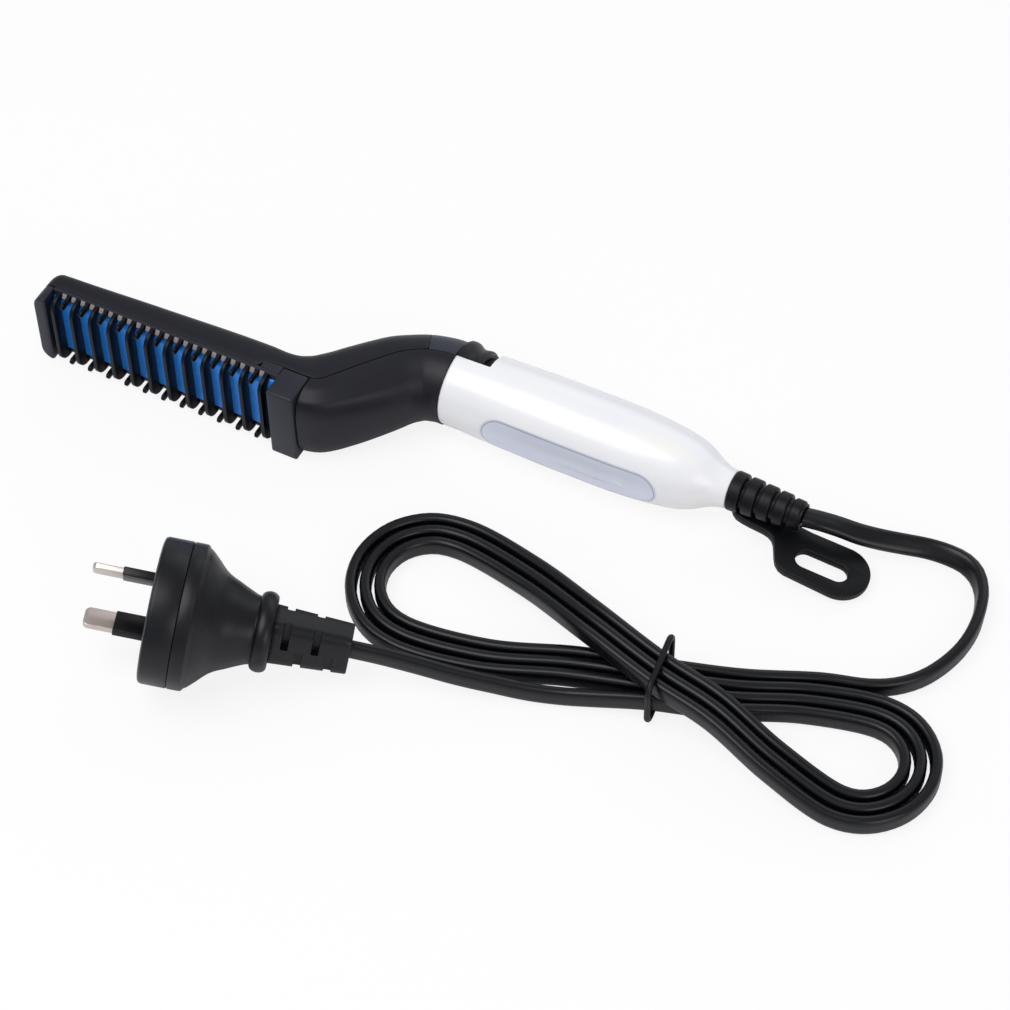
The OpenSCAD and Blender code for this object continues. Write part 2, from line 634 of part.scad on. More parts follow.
// Round wire through a list of places
module wire(places, r) {
    rings = [for (i = [0:len(places) - 1]) let (d = heading(places, i),
        a = unit(cross(d, [0, 0, 1])), b = cross(a, d))
        [for (j = [0:7]) places[i] + r * (a * cos(45 * j) + b * sin(45 * j))]];
    tube(rings);
}
module heater_leads() color("white") placed() for (side = [-1, 1])
    wire([for (q = leads_route) [q[0], -q[1], axis_z + side * q[2]]], wire_r);

module cord_clamp() color(grey) placed() difference() {
    intersection() {
        bar_x(clamp_x[0], clamp_x[1], -clamp_back, -cord_w / 2, -clamp_half, clamp_half);
        on_axis() turned([[0, 0], [0, chassis_in - 0.2], [far, chassis_in - 0.2], [far, 0]]);
    }
    for (w = [-1, 1]) {
        rod_n(-far, 1, clamp_screw_x, w * clamp_screw_w, screw_r + 0.1);
        rod_n(-far, -clamp_seat, clamp_screw_x, w * clamp_screw_w, screw_head_r + 0.1);
    }
}

module clamp_screws() color(silver) placed() for (w = [-1, 1]) {
    rod_n(-clamp_seat, screw_tip, clamp_screw_x, w * clamp_screw_w, screw_r);
    rod_n(-clamp_seat - screw_head_h, -clamp_seat, clamp_screw_x, w * clamp_screw_w, screw_head_r);
}

module handle_sleeve() color(pearl) placed() difference() {
    on_axis() turned(concat([for (x = sleeve_xs) [x, sleeve_at(x)]],
        [for (i = [sleeve_steps:-1:0]) let (x = sleeve_xs[i])
            [x, max(tail_hole_r, sleeve_at(x) - sleeve_wall)]]));
    translate([-1, notch_y, -1]) cube([notch_len + 1, far, 2 * axis_z + 2]);
}

module label_plate() color(silver) placed() intersection() {
    on_axis() turned(concat([for (i = [2:sleeve_steps - 4]) let (x = sleeve_xs[i])
        [x, sleeve_at(x) + label_t]],
        [for (i = [sleeve_steps - 4:-1:2]) let (x = sleeve_xs[i]) [x, sleeve_at(x)]]));
    translate([13.5, 0, axis_z]) rotate([90, 0, 0]) linear_extrude(far) union() {
        translate([label_w / 2, -label_w / 2]) square([label_len - label_w, label_w]);
        for (x = [label_w / 2, label_len - label_w / 2]) translate([x, 0]) circle(r = label_w / 2);
    }
}

// Profile of the lead inside the bush
module lead_section(grow = 0) {
    half = (cord_w - cord_t) / 2;
    union() {
        square([2 * half, cord_t + 2 * grow], center = true);
        for (s = [-1, 1]) translate([s * half, 0]) circle(r = cord_t / 2 + grow);
    }
}
module lead_run(x0, x1, grow = 0) {
    translate([x0, 0, axis_z]) rotate([90, 0, 90]) linear_extrude(x1 - x0) lead_section(grow);
}

module strain_relief() color(black) placed() difference() {
    union() {
        on_axis() turned(concat([[flange_x, 0], [flange_x, flange_r], [flange_x + flange_len, flange_r],
            [flange_x + flange_len, tail_hole_r - 0.05], [sleeve_len, tail_hole_r - 0.05]],
            [for (i = [0:ring_count - 1]) let (x = sleeve_len + i * ring_pitch) each [
                [x, ring_rs[i] - 0.4], [x + 0.4, ring_rs[i]], [x + ring_w - 0.4, ring_rs[i] - 0.1],
                [x + ring_w, ring_rs[i] - 0.5], [x + ring_w, relief_core - 0.1 * i],
                [x + (i == ring_count - 1 ? ring_w : ring_pitch), relief_core - 0.1 * i]]],
            [[relief_end, relief_core - 0.4], [relief_end, 0]]));
        tab();
    }
    lead_run(0, far + relief_end, lead_gap);
}
// Flat tab moulded on the underside of the bush
module tab() {
    translate([tab_x, 0, tab_root_z]) rotate([0, tab_drop, 0]) difference() {
        linear_extrude(tab_t) union() {
            translate([tab_end - tab_round, tab_y]) circle(r = tab_round);
            polygon([[-1, 2.6], [-0.2, -2.6], [2, -4.5], [6.4, -5], [10.5, -5], [13.3, -6], [15.2, -9],
                [17.3, -12.7], [20.6, -14.5], [tab_end - tab_round, tab_y - tab_round],
                [tab_end - tab_round, tab_y + tab_round], [22, 1.3], [14, 2.2]]);
        }
        translate([slot_x, slot_y, -1]) rotate([0, 0, slot_turn]) linear_extrude(tab_t + 2) union() {
            square([slot_len - slot_w, slot_w], center = true);
            for (s = [-1, 1]) translate([s * (slot_len - slot_w) / 2, 0]) circle(r = slot_w / 2);
        }
    }
}

module cord_inlet() color(black) placed() lead_run(inlet_x, relief_end);

module cord_lead() color(black) placed()
    tube(flat_rings(lead_route, lead_sides, [1, 0, 0], -hank_end_dir));

module cord_tail() color(black) placed()
    tube(flat_rings(tail_route, lead_sides, plug_dir, hank_start_dir));

// Least distance between the points of strands that lie side by side
function near_pairs(rings) = [for (i = [0:len(rings) - 8], j = [i + 7:len(rings) - 1])
    if (norm(rings[i][0] - rings[j][0]) < 14) each [for (a = rings[i], b = rings[j]) norm(a - b)]];

module cord_hank() color(black) placed() {
    echo(least_gap_in_hank = min(near_pairs(hank_rings)));
    tube(hank_rings);
}

module cord_tie() color(black) placed() {
    r = tie_d / 2;
    corners = [[-tie_out + tie_bend, tie_low + tie_bend, 180], [tie_in - tie_bend, tie_low + tie_bend, 270],
        [tie_in - tie_bend, tie_top - tie_bend, 0], [-tie_out + tie_bend, tie_top - tie_bend, 90]];
    line = [for (c = corners, i = [0:tie_steps]) let (a = c[2] + 90 * i / tie_steps,
        d = tie_bend + r) [c[0] + d * cos(a), c[1] + d * sin(a)]];
    n = len(line);
    rings = [for (i = [0:n - 1]) let (d = unit(line[(i + 1) % n] - line[(i + n - 1) % n]))
        [for (j = [0:7]) [r * cos(45 * j), line[i][0] + r * sin(45 * j) * d[1],
            line[i][1] - r * sin(45 * j) * d[0]]]];
    points = [for (q = rings) each q];
    translate([lead_x + tie_x, hank_y, 0]) rotate([0, 0, tie_turn])
        polyhedron(points, [for (i = [0:n - 1], j = [0:7]) let (k = (j + 1) % 8, e = (i + 1) % n)
            each [[i * 8 + j, i * 8 + k, e * 8 + k], [i * 8 + j, e * 8 + k, e * 8 + j]]]);
}

module at_plug() {
    translate([lead_x + plug_x, plug_y, plug_z]) rotate([0, plug_pitch, plug_yaw])
        rotate([plug_roll, 0, 0]) children();
}
module pins(x0, x1, grow = 0) {
    for (a = pin_angles) rotate([a, 0, 0])
        translate([x0, pin_r - pin_t / 2 - grow, -pin_w / 2 - grow])
            cube([x1 - x0, pin_t + 2 * grow, pin_w + 2 * grow]);
}

module plug_body() color(black) placed() at_plug() difference() {
    turned(concat([[0, 0], [0, disc_r - 1.2], [0.35, disc_r - 0.4], [1.2, disc_r],
        [groove_x - 0.4, disc_r], [groove_x, disc_r - 0.4], [groove_x + 0.4, disc_r],
        [disc_t - 0.6, disc_r], [disc_t, disc_r - 1]],
        [for (i = [1:10]) let (x = disc_t + (collar_x - disc_t) * i / 10) [x, curve_at(bell, x)]],
        [[collar_x, collar_r - 0.5], [collar_x + 0.5, collar_r], [collar_x + collar_len - 0.8, collar_r],
            [collar_x + collar_len, collar_r - 0.8], [collar_x + collar_len, 0]]));
    pins(-1, pin_root);
}

module plug_pins() color(steel) placed() at_plug() pins(-pin_len, pin_root);

module pin_sleeves() color(black) placed() at_plug() difference() {
    pins(-pin_sleeve_len, 0, 0.35);
    pins(-pin_len, pin_root);
}

// Slot across the upper or the lower half of the relief, down to the core round the lead
module flex_slot(x, low) translate([x, 0, flex_mid]) mirror([0, 0, low]) difference() {
    translate([0, -far, 0]) cube([flex_w, 2 * far, far]);
    translate([-1, -flex_core, -1]) cube([flex_w + 2, 2 * flex_core, 2 + far]);
}

module plug_relief() color(black) placed() at_plug() {
    x0 = collar_x + collar_len;
    x1 = plug_len;
    difference() {
        intersection() {
            rotate([90, 0, 0]) linear_extrude(far, center = true)
                polygon([[x0, -bush_half[0]], [x1, -bush_half[1]], [x1, bush_half[1]], [x0, bush_half[0]]]);
            linear_extrude(far, center = true)
                polygon([[x0, -bush_thick[0]], [x1, -bush_thick[1]],
                    [x1, bush_thick[1]], [x0, bush_thick[0]]]);
            turned([[x0, 0], [x0, bush_half[0] + 0.6], [x1, bush_half[1] + 0.2], [x1, 0]]);
        }
        for (i = [0, 1], low = [0, 1]) flex_slot(x0 + flex_x + (i + low / 2) * flex_pitch, low);
    }
}

head_shell();
comb_cage();
comb_ribs();
comb_teeth();
heater_bar();
heating_element();
insulation_film();
heater_clamp();
thermal_fuse();
heater_screws();
neck_front();
switch_bridge();
switch_knob();
switch_lever();
switch_body();
chassis_front();
chassis_back();
chassis_screws();
circuit_board();
board_resistor();
board_diode();
heater_leads();
cord_clamp();
clamp_screws();
handle_sleeve();
label_plate();
strain_relief();
cord_inlet();
cord_lead();
cord_hank();
cord_tail();
cord_tie();
plug_body();
plug_relief();
plug_pins();
pin_sleeves();
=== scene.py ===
"""Looks of a beard straightener: heated comb, bent neck, pearl handle, flat lead in a tied hank, plug."""

from math import copysign, cos, degrees, exp, floor, pi, radians, sin, sqrt

import bmesh
import bpy
from mathutils import Matrix, Vector


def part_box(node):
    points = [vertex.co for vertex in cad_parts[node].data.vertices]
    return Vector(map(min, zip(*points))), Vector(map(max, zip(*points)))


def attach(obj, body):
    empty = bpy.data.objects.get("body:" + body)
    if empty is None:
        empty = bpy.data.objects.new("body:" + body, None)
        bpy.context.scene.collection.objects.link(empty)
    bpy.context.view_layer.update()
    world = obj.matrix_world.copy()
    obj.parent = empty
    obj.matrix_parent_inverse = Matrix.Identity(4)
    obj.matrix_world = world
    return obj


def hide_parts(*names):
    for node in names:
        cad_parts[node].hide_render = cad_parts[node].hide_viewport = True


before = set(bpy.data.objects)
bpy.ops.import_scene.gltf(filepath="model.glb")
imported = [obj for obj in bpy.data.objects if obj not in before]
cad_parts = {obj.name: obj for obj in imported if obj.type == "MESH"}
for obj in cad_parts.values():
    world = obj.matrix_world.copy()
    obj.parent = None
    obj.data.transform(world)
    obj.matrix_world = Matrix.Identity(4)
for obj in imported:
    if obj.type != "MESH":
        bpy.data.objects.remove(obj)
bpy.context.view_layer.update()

# Places of the frame: the handle's axis lies along X, the comb faces -Y, the floor is z = 0
MM = 0.001
sleeve_low, sleeve_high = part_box("handle_sleeve")
SEAM = sleeve_low.x
AXIS_Y = (sleeve_low.y + sleeve_high.y) / 2
AXIS_Z = (sleeve_low.z + sleeve_high.z) / 2
HALF = AXIS_Z / MM


def at(x, n, w):
    """Point x past the seam, n in front of the handle's axis and w above it, all in mm."""
    return Vector((SEAM + x * MM, AXIS_Y - n * MM, AXIS_Z + w * MM))


def smooth(t):
    t = min(1.0, max(0.0, t))
    return t * t * (3 - 2 * t)


def curve_at(points, x):
    """Height at x of a soft curve through the points, flat at both ends."""
    i = 0
    while i < len(points) - 2 and x > points[i + 1][0]:
        i += 1

    def slope(k):
        if k in (0, len(points) - 1):
            return 0.0
        return (points[k + 1][1] - points[k - 1][1]) / (points[k + 1][0] - points[k - 1][0])

    d = points[i + 1][0] - points[i][0]
    t = min(1.0, max(0.0, (x - points[i][0]) / d))
    u = 1 - t
    return (points[i][1] * u * u * (1 + 2 * t) + points[i + 1][1] * t * t * (3 - 2 * t)
            + d * t * u * (u * slope(i) - t * slope(i + 1)))


def colour(code):
    """Linear colour of an sRGB code such as #336699."""
    parts = [int(code[i:i + 2], 16) / 255 for i in (1, 3, 5)]
    return [c / 12.92 if c <= 0.04045 else ((c + 0.055) / 1.055) ** 2.4 for c in parts] + [1]


# Camera, at the photograph's viewing angle
CAM_AZIMUTH, CAM_ELEVATION, CAM_ROLL = 28.3, 50.9, -1.18
CAM_DISTANCE, CAM_TARGET = 847.7, (30.9, -30.4, 9.6)
FOCAL_PX, FRAME_PX, SENSOR = 3130, 1010, 36.0


def make_camera():
    data = bpy.data.cameras.new("view")
    camera = bpy.data.objects.new("view", data)
    bpy.context.scene.collection.objects.link(camera)
    a, e = radians(CAM_AZIMUTH), radians(CAM_ELEVATION)
    back = Vector((sin(a) * cos(e), -cos(a) * cos(e), sin(e)))
    target = at(CAM_TARGET[0], -CAM_TARGET[1], CAM_TARGET[2] - HALF)
    roll = Matrix.Rotation(radians(CAM_ROLL), 4, "Z")
    turn = (-back).to_track_quat("-Z", "Y").to_matrix().to_4x4() @ roll
    camera.matrix_world = Matrix.Translation(target + back * CAM_DISTANCE * MM) @ turn
    data.sensor_width = SENSOR
    data.lens = FOCAL_PX / FRAME_PX * SENSOR
    data.clip_start, data.clip_end = 0.05, 20
    bpy.context.scene.camera = camera


# Modelling helpers
MERGE_GAP = 0.00001


def clear():
    if bpy.context.object and bpy.context.object.mode != "OBJECT":
        leave_edit()
    bpy.ops.object.select_all(action="DESELECT")


def focus(obj):
    clear()
    obj.select_set(True)
    bpy.context.view_layer.objects.active = obj
    return obj


def new_piece(name, verts, edges=(), faces=()):
    mesh = bpy.data.meshes.new(name)
    mesh.from_pydata([tuple(v) for v in verts], list(edges), list(faces))
    obj = bpy.data.objects.new(name, mesh)
    bpy.context.scene.collection.objects.link(obj)
    return focus(obj)


def leave_edit():
    bpy.ops.object.mode_set(mode="OBJECT")


def edit(select="SELECT"):
    bpy.ops.object.mode_set(mode="EDIT")
    bpy.ops.mesh.select_all(action=select)


def tidy_up(obj):
    """Merges double points and turns the faces outwards."""
    focus(obj)
    edit()
    bpy.ops.mesh.remove_doubles(threshold=MERGE_GAP)
    bpy.ops.mesh.normals_make_consistent(inside=False)
    leave_edit()
    return obj


def apply_modifier(obj, kind, **values):
    focus(obj)
    m = obj.modifiers.new(kind, kind)
    for key, value in values.items():
        setattr(m, key, value)
    bpy.ops.object.modifier_apply(modifier=m.name)
    return obj


def bevel(obj, width, segments=2, angle=30):
    return apply_modifier(obj, "BEVEL", width=width * MM, segments=segments, limit_method="ANGLE",
                          angle_limit=radians(angle), use_clamp_overlap=True)


def thicken(obj, wall):
    return apply_modifier(obj, "SOLIDIFY", thickness=wall * MM, offset=-1, use_even_offset=True)


def smooth_shade(obj, angle=35):
    focus(obj)
    bpy.ops.object.shade_smooth_by_angle(angle=radians(angle))
    return obj


def cut(obj, tool):
    """Takes the tool's space out of a piece, and the tool away."""
    apply_modifier(obj, "BOOLEAN", operation="DIFFERENCE", solver="EXACT", object=tool)
    bpy.data.objects.remove(tool)
    return focus(obj)


def block(name, low, high):
    """Block between two corners, in metres."""
    clear()
    bpy.ops.mesh.primitive_cube_add(size=1, location=(low + high) / 2)
    obj = bpy.context.object
    obj.name = obj.data.name = name
    obj.dimensions = high - low
    bpy.ops.object.transform_apply(location=True, rotation=True, scale=True)
    return obj


def box(name, x0, x1, n0, n1, w0, w1):
    """Block between two places of the handle's frame, in mm."""
    return block(name, at(x0, n1, w0), at(x1, n0, w1))


def turned(name, profile, steps=64, to_place=None):
    """Spins a profile of (x, r) in mm about the X axis; to_place carries it to where it lies."""
    verts = [(x * MM, r * MM, 0) for x, r in profile]
    obj = new_piece(name, verts, [(i, i + 1) for i in range(len(verts) - 1)])
    edit()
    bpy.ops.mesh.spin(steps=steps, angle=2 * pi, center=(0, 0, 0), axis=(1, 0, 0))
    leave_edit()
    if to_place is None:
        to_place = Matrix.Translation(at(0, 0, 0))
    obj.data.transform(to_place)
    return tidy_up(obj)


def cap(obj, ring):
    """Closes a ring of a piece's points with one face."""
    bm = bmesh.new()
    bm.from_mesh(obj.data)
    bm.faces.new([min(bm.verts, key=lambda v, p=p: (v.co - p).length) for p in ring])
    bm.to_mesh(obj.data)
    bm.free()


def loft(name, rings, closed=True):
    """Bridges rings of points, each with as many points as the next; closed rings get caps."""
    m, count = len(rings[0]), len(rings)
    edges = [(i * m + j, i * m + (j + 1) % m) for i in range(count) for j in range(m if closed else m - 1)]
    obj = new_piece(name, [p for ring in rings for p in ring], edges)
    edit()
    bpy.ops.mesh.bridge_edge_loops()
    leave_edit()
    if closed:
        cap(obj, rings[0])
        cap(obj, rings[-1])
    return tidy_up(obj)


def band(m, rows, closed=False):
    """Faces between rows of m points, and from the last row to the first where it is closed."""
    return [(i * m + j, i * m + (j + 1) % m, (i + 1) % rows * m + (j + 1) % m, (i + 1) % rows * m + j)
            for i in range(rows if closed else rows - 1) for j in range(m)]


def slab(name, low, high):
    """Solid between two outlines, each with as many points."""
    m = len(low)
    faces = [tuple(range(m)), tuple(range(2 * m - 1, m - 1, -1))] + band(m, 2)
    return tidy_up(new_piece(name, low + high, (), faces))


def prism(name, outline, z0, z1):
    """Solid of an outline of (x, y) between two heights, in mm about the origin."""
    return slab(name, *([(x * MM, y * MM, z * MM) for x, y in outline] for z in (z0, z1)))


def plate_across(name, outline, x, t):
    """Stands an outline of (w, n) up across the head, from x to x + t."""
    return slab(name, *([at(place, n, w) for w, n in outline] for place in (-x - t, -x)))


def arc(cx, cy, r, a0, a1, n):
    return [(cx + r * cos(radians(a0 + (a1 - a0) * i / n)),
             cy + r * sin(radians(a0 + (a1 - a0) * i / n))) for i in range(n + 1)]


def join(name, parts):
    clear()
    for p in parts:
        p.select_set(True)
    bpy.context.view_layer.objects.active = parts[0]
    bpy.ops.object.join()
    obj = bpy.context.object
    obj.name = obj.data.name = name
    return obj


def dress(obj, finish, body="handle", nodes=()):
    """Gives a finished piece its material and its body, and hides the frame's nodes it stands for."""
    obj.data.materials.clear()
    obj.data.materials.append(FINISH[finish])
    if nodes:
        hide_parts(*nodes)
    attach(obj, body)


# Materials
def put(node, **values):
    """Sets a node's inputs by name, with _ for a space."""
    for key, value in values.items():
        node.inputs[key.replace("_", " ")].default_value = value


def grain_group(name, inputs):
    """A finish: two colours to mix, two roughnesses to span and a bump, for a noise to drive."""
    g = bpy.data.node_groups.new(name, "ShaderNodeTree")
    for key, kind, value in inputs:
        socket = g.interface.new_socket(name=key, in_out="INPUT", socket_type="NodeSocket" + kind)
        socket.default_value = value
    for key, kind in (("Color", "Color"), ("Roughness", "Float"), ("Normal", "Vector")):
        g.interface.new_socket(name=key, in_out="OUTPUT", socket_type="NodeSocket" + kind)
    n, link = g.nodes, g.links.new
    inp, out = n.new("NodeGroupInput"), n.new("NodeGroupOutput")
    place, mix = n.new("ShaderNodeTexCoord"), n.new("ShaderNodeMix")
    span, bump = n.new("ShaderNodeMapRange"), n.new("ShaderNodeBump")
    mix.data_type = "RGBA"
    link(inp.outputs["Base"], mix.inputs["A"])
    link(inp.outputs["Worn"], mix.inputs["B"])
    link(inp.outputs["Rough low"], span.inputs["To Min"])
    link(inp.outputs["Rough high"], span.inputs["To Max"])
    link(mix.outputs["Result"], out.inputs["Color"])
    link(span.outputs["Result"], out.inputs["Roughness"])
    link(bump.outputs["Normal"], out.inputs["Normal"])
    return g, inp, place, mix, span, bump


def mould_grain():
    """Fine grain of moulded plastic: an uneven colour, roughness and height."""
    g, inp, place, mix, span, bump = grain_group("mould_grain", [
        ("Base", "Color", (0.02, 0.02, 0.02, 1)), ("Worn", "Color", (0.04, 0.04, 0.04, 1)),
        ("Rough low", "Float", 0.4), ("Rough high", "Float", 0.55),
        ("Grain", "Float", 4000.0), ("Bump", "Float", 0.1)])
    n, link = g.nodes, g.links.new
    grain, cloud = n.new("ShaderNodeTexNoise"), n.new("ShaderNodeTexNoise")
    put(grain, Detail=3)
    put(cloud, Scale=60, Detail=5)
    link(place.outputs["Object"], grain.inputs["Vector"])
    link(place.outputs["Object"], cloud.inputs["Vector"])
    link(inp.outputs["Grain"], grain.inputs["Scale"])
    link(cloud.outputs["Fac"], mix.inputs["Factor"])
    link(cloud.outputs["Fac"], span.inputs["Value"])
    put(bump, Distance=0.00003)
    link(inp.outputs["Bump"], bump.inputs["Strength"])
    link(grain.outputs["Fac"], bump.inputs["Height"])
    return g


def brushed_grain():
    """Fine lines along one way: an uneven colour, roughness and height."""
    g, inp, place, mix, span, bump = grain_group("brushed_grain", [
        ("Base", "Color", (0.3, 0.3, 0.3, 1)), ("Worn", "Color", (0.5, 0.5, 0.5, 1)),
        ("Rough low", "Float", 0.22), ("Rough high", "Float", 0.4), ("Along", "Vector", (40, 900, 900))])
    n, link = g.nodes, g.links.new
    mapping, noise = n.new("ShaderNodeMapping"), n.new("ShaderNodeTexNoise")
    put(noise, Scale=3, Detail=4)
    link(place.outputs["Object"], mapping.inputs["Vector"])
    link(inp.outputs["Along"], mapping.inputs["Scale"])
    link(mapping.outputs["Vector"], noise.inputs["Vector"])
    put(bump, Strength=0.08, Distance=0.00002)
    for driven in (mix.inputs["Factor"], span.inputs["Value"], bump.inputs["Height"]):
        link(noise.outputs["Fac"], driven)
    return g


MOULD_GRAIN, BRUSHED_GRAIN = mould_grain(), brushed_grain()


def new_material(name):
    """A material, its nodes, its link call and its shader."""
    m = bpy.data.materials.new(name)
    m.use_nodes = True
    return m, m.node_tree.nodes, m.node_tree.links.new, m.node_tree.nodes["Principled BSDF"]


def grained(name, group, **values):
    """A material whose colour, roughness and normal come from a group with its own values."""
    m, n, link, shader = new_material(name)
    g = n.new("ShaderNodeGroup")
    g.node_tree = group
    put(g, **values)
    link(g.outputs["Color"], shader.inputs["Base Color"])
    link(g.outputs["Roughness"], shader.inputs["Roughness"])
    link(g.outputs["Normal"], shader.inputs["Normal"])
    return m, shader


def plastic(name, base, worn, rough=(0.4, 0.55), grain=4000, bump=0.12, specular=0.5, coat=0.0):
    """Moulded plastic, rubber or lacquer, with its own grain."""
    m, shader = grained(name, MOULD_GRAIN, Base=colour(base), Worn=colour(worn), Grain=grain,
                        Rough_low=rough[0], Rough_high=rough[1], Bump=bump)
    put(shader, Specular_IOR_Level=specular, Coat_Weight=coat, Coat_Roughness=0.12)
    return m


def brushed(name, base, worn, along=(40, 900, 900), rough=(0.22, 0.4), metallic=1.0):
    """Metal brushed along X."""
    m, shader = grained(name, BRUSHED_GRAIN, Base=colour(base), Worn=colour(worn), Along=along,
                        Rough_low=rough[0], Rough_high=rough[1])
    put(shader, Metallic=metallic)
    return m


def pearl_lacquer():
    """White pearl lacquer: faint beige and blue clouds, fine flakes and a clear coat."""
    m, n, link, shader = new_material("pearl_lacquer")
    place, stretch = n.new("ShaderNodeTexCoord"), n.new("ShaderNodeMapping")
    cloud, flake = n.new("ShaderNodeTexNoise"), n.new("ShaderNodeTexNoise")
    put(stretch, Scale=(0.35, 1, 1))
    link(place.outputs["Object"], stretch.inputs["Vector"])
    link(stretch.outputs["Vector"], cloud.inputs["Vector"])
    put(cloud, Scale=90, Detail=2)
    ramp = n.new("ShaderNodeValToRGB")
    cool, warm = ramp.color_ramp.elements
    cool.position, cool.color = 0.3, colour("#edeef2")
    warm.position, warm.color = 0.7, colour("#f3f2ea")
    ramp.color_ramp.elements.new(0.5).color = colour("#f0f0f2")
    link(cloud.outputs["Fac"], ramp.inputs["Fac"])
    link(ramp.outputs["Color"], shader.inputs["Base Color"])
    put(flake, Scale=9000)
    link(place.outputs["Object"], flake.inputs["Vector"])
    bump, span = n.new("ShaderNodeBump"), n.new("ShaderNodeMapRange")
    put(bump, Strength=0.03, Distance=0.00002)
    link(flake.outputs["Fac"], bump.inputs["Height"])
    link(bump.outputs["Normal"], shader.inputs["Normal"])
    put(span, To_Min=0.26, To_Max=0.38)
    link(cloud.outputs["Fac"], span.inputs["Value"])
    link(span.outputs["Result"], shader.inputs["Roughness"])
    put(shader, Coat_Weight=0.35, Coat_Roughness=0.12)
    return m


def label_film():
    """Satin silver film; the attribute rim is 1 on its thin printed outline."""
    m, n, link, shader = new_material("label_film")
    rim, place, noise = n.new("ShaderNodeAttribute"), n.new("ShaderNodeTexCoord"), n.new("ShaderNodeTexNoise")
    rim.attribute_name = "rim"
    put(noise, Scale=120)
    link(place.outputs["Object"], noise.inputs["Vector"])
    film, mix = n.new("ShaderNodeMix"), n.new("ShaderNodeMix")
    film.data_type = mix.data_type = "RGBA"
    put(film, A=colour("#d4d9e8"), B=colour("#dfe3ee"))
    link(noise.outputs["Fac"], film.inputs["Factor"])
    put(mix, B=colour("#a7acb9"))
    link(rim.outputs["Fac"], mix.inputs["Factor"])
    link(film.outputs["Result"], mix.inputs["A"])
    link(mix.outputs["Result"], shader.inputs["Base Color"])
    span = n.new("ShaderNodeMapRange")
    put(span, To_Min=0.34, To_Max=0.46)
    link(noise.outputs["Fac"], span.inputs["Value"])
    link(span.outputs["Result"], shader.inputs["Roughness"])
    put(shader, Metallic=0.25)
    return m


FINISH = {
    "shell": plastic("matte_shell", "#0c0d16", "#11121c", (0.4, 0.5), 5200, 0.15, 0.32),
    "comb": plastic("comb_plastic", "#020204", "#050509", (0.32, 0.46), 5200, 0.1, 0.2),
    "cage": plastic("cage_plastic", "#191b26", "#1f212d", (0.4, 0.5), 5200, 0.12, 0.36),
    "root": plastic("root_facets", "#857c7d", "#958b8b", (0.35, 0.5), 5200, 0.1),
    "bridge": plastic("bridge_plastic", "#252833", "#2c2f3c", (0.4, 0.52), 5200, 0.12, 0.4),
    "knob": plastic("knob_plastic", "#08080d", "#0d0d13", (0.38, 0.5), 6000, 0.15, 0.34),
    "bush": plastic("bush_rubber", "#05060a", "#090a0f", (0.38, 0.5), 5000, 0.15, 0.24),
    "cord": plastic("cord_sheath", "#030408", "#07080e", (0.26, 0.36), 3000, 0.08, 0.36),
    "plug": plastic("plug_rubber", "#06070d", "#0a0b12", (0.32, 0.42), 4200, 0.18, 0.32),
    "pin_sleeve": plastic("pin_sleeve", "#040407", "#08080c", (0.28, 0.4), 4200, 0.06, 0.3),
    "tie": plastic("tie_rubber", "#030306", "#07070b", (0.35, 0.5), 5000, 0.1, 0.3),
    "dark_inside": plastic("inner_moulding", "#070708", "#0c0c0e", (0.5, 0.65), 4000, 0.15, 0.2),
    "switch_grey": plastic("switch_moulding", "#3c3c40", "#48484c", (0.4, 0.5), 4000, 0.1),
    "board": plastic("solder_mask", "#0d4a26", "#12572e", (0.2, 0.3), 3000, 0.05, coat=0.3),
    "lacquer_tan": plastic("lacquered_tan", "#9a8058", "#a88d64", (0.3, 0.4), 3000, 0.1, coat=0.3),
    "epoxy": plastic("black_epoxy", "#0a0a0b", "#121213", (0.25, 0.35), 3000, 0.05),
    "silicone": plastic("white_silicone", "#dcdcd6", "#e6e6e0", (0.45, 0.6), 4000, 0.1),
    "ceramic": plastic("ceramic", "#d8cfae", "#e2dabb", (0.5, 0.65), 2500, 0.2),
    "film": plastic("amber_film", "#c0781c", "#cc8628", (0.15, 0.25), 2000, 0.05, coat=0.4),
    "zinc": brushed("zinc_screws", "#9b9ba0", "#b6b6ba"),
    "spring_steel": brushed("spring_steel", "#8d8d90", "#a9a9ac"),
    "nickel": brushed("brushed_nickel", "#c2b7b0", "#d6ccc5", (60, 700, 700), (0.3, 0.42)),
    "bar": brushed("blue_anodised", "#187ae4", "#3298f6", (30, 500, 500), (0.28, 0.4), 0.3),
    "pearl": pearl_lacquer(),
    "label": label_film(),
}

# Lead: the route's points repeat the frame's own, in mm: x past the bush's end, y, z and roll
BUSH_END = 105.6
CORD_W, CORD_T, CORD_SIDES = 5.86, 3.4, 20
CORD_SQUARE, GROOVE_DEPTH, GROOVE_HALF = (0.86, 0.62), 0.12, 0.8
LEAD_POINTS = [
    (0, 0, 12.5, -90), (4, 0.9, 12.2, -88), (9, 2.6, 10.6, -80), (14.5, 4.6, 8.2, -68),
    (20, 7, 6.2, -60), (26, 9.6, 4.7, -54), (32, 11.7, 3.8, -50), (37.6, 12.5, 3.3, -44),
    (42.6, 12, 3.1, -34), (46.8, 9.6, 3, -22), (50, 5.2, 2.95, -12), (52, -0.8, 2.95, -5),
    (52.9, -8, 2.95, 0), (52.3, -15.2, 2.95, 0), (50.1, -22.4, 2.95, 0), (46.6, -28.8, 2.95, 0),
    (41.6, -33.9, 2.95, 0), (35.6, -37.4, 3, 0),
]
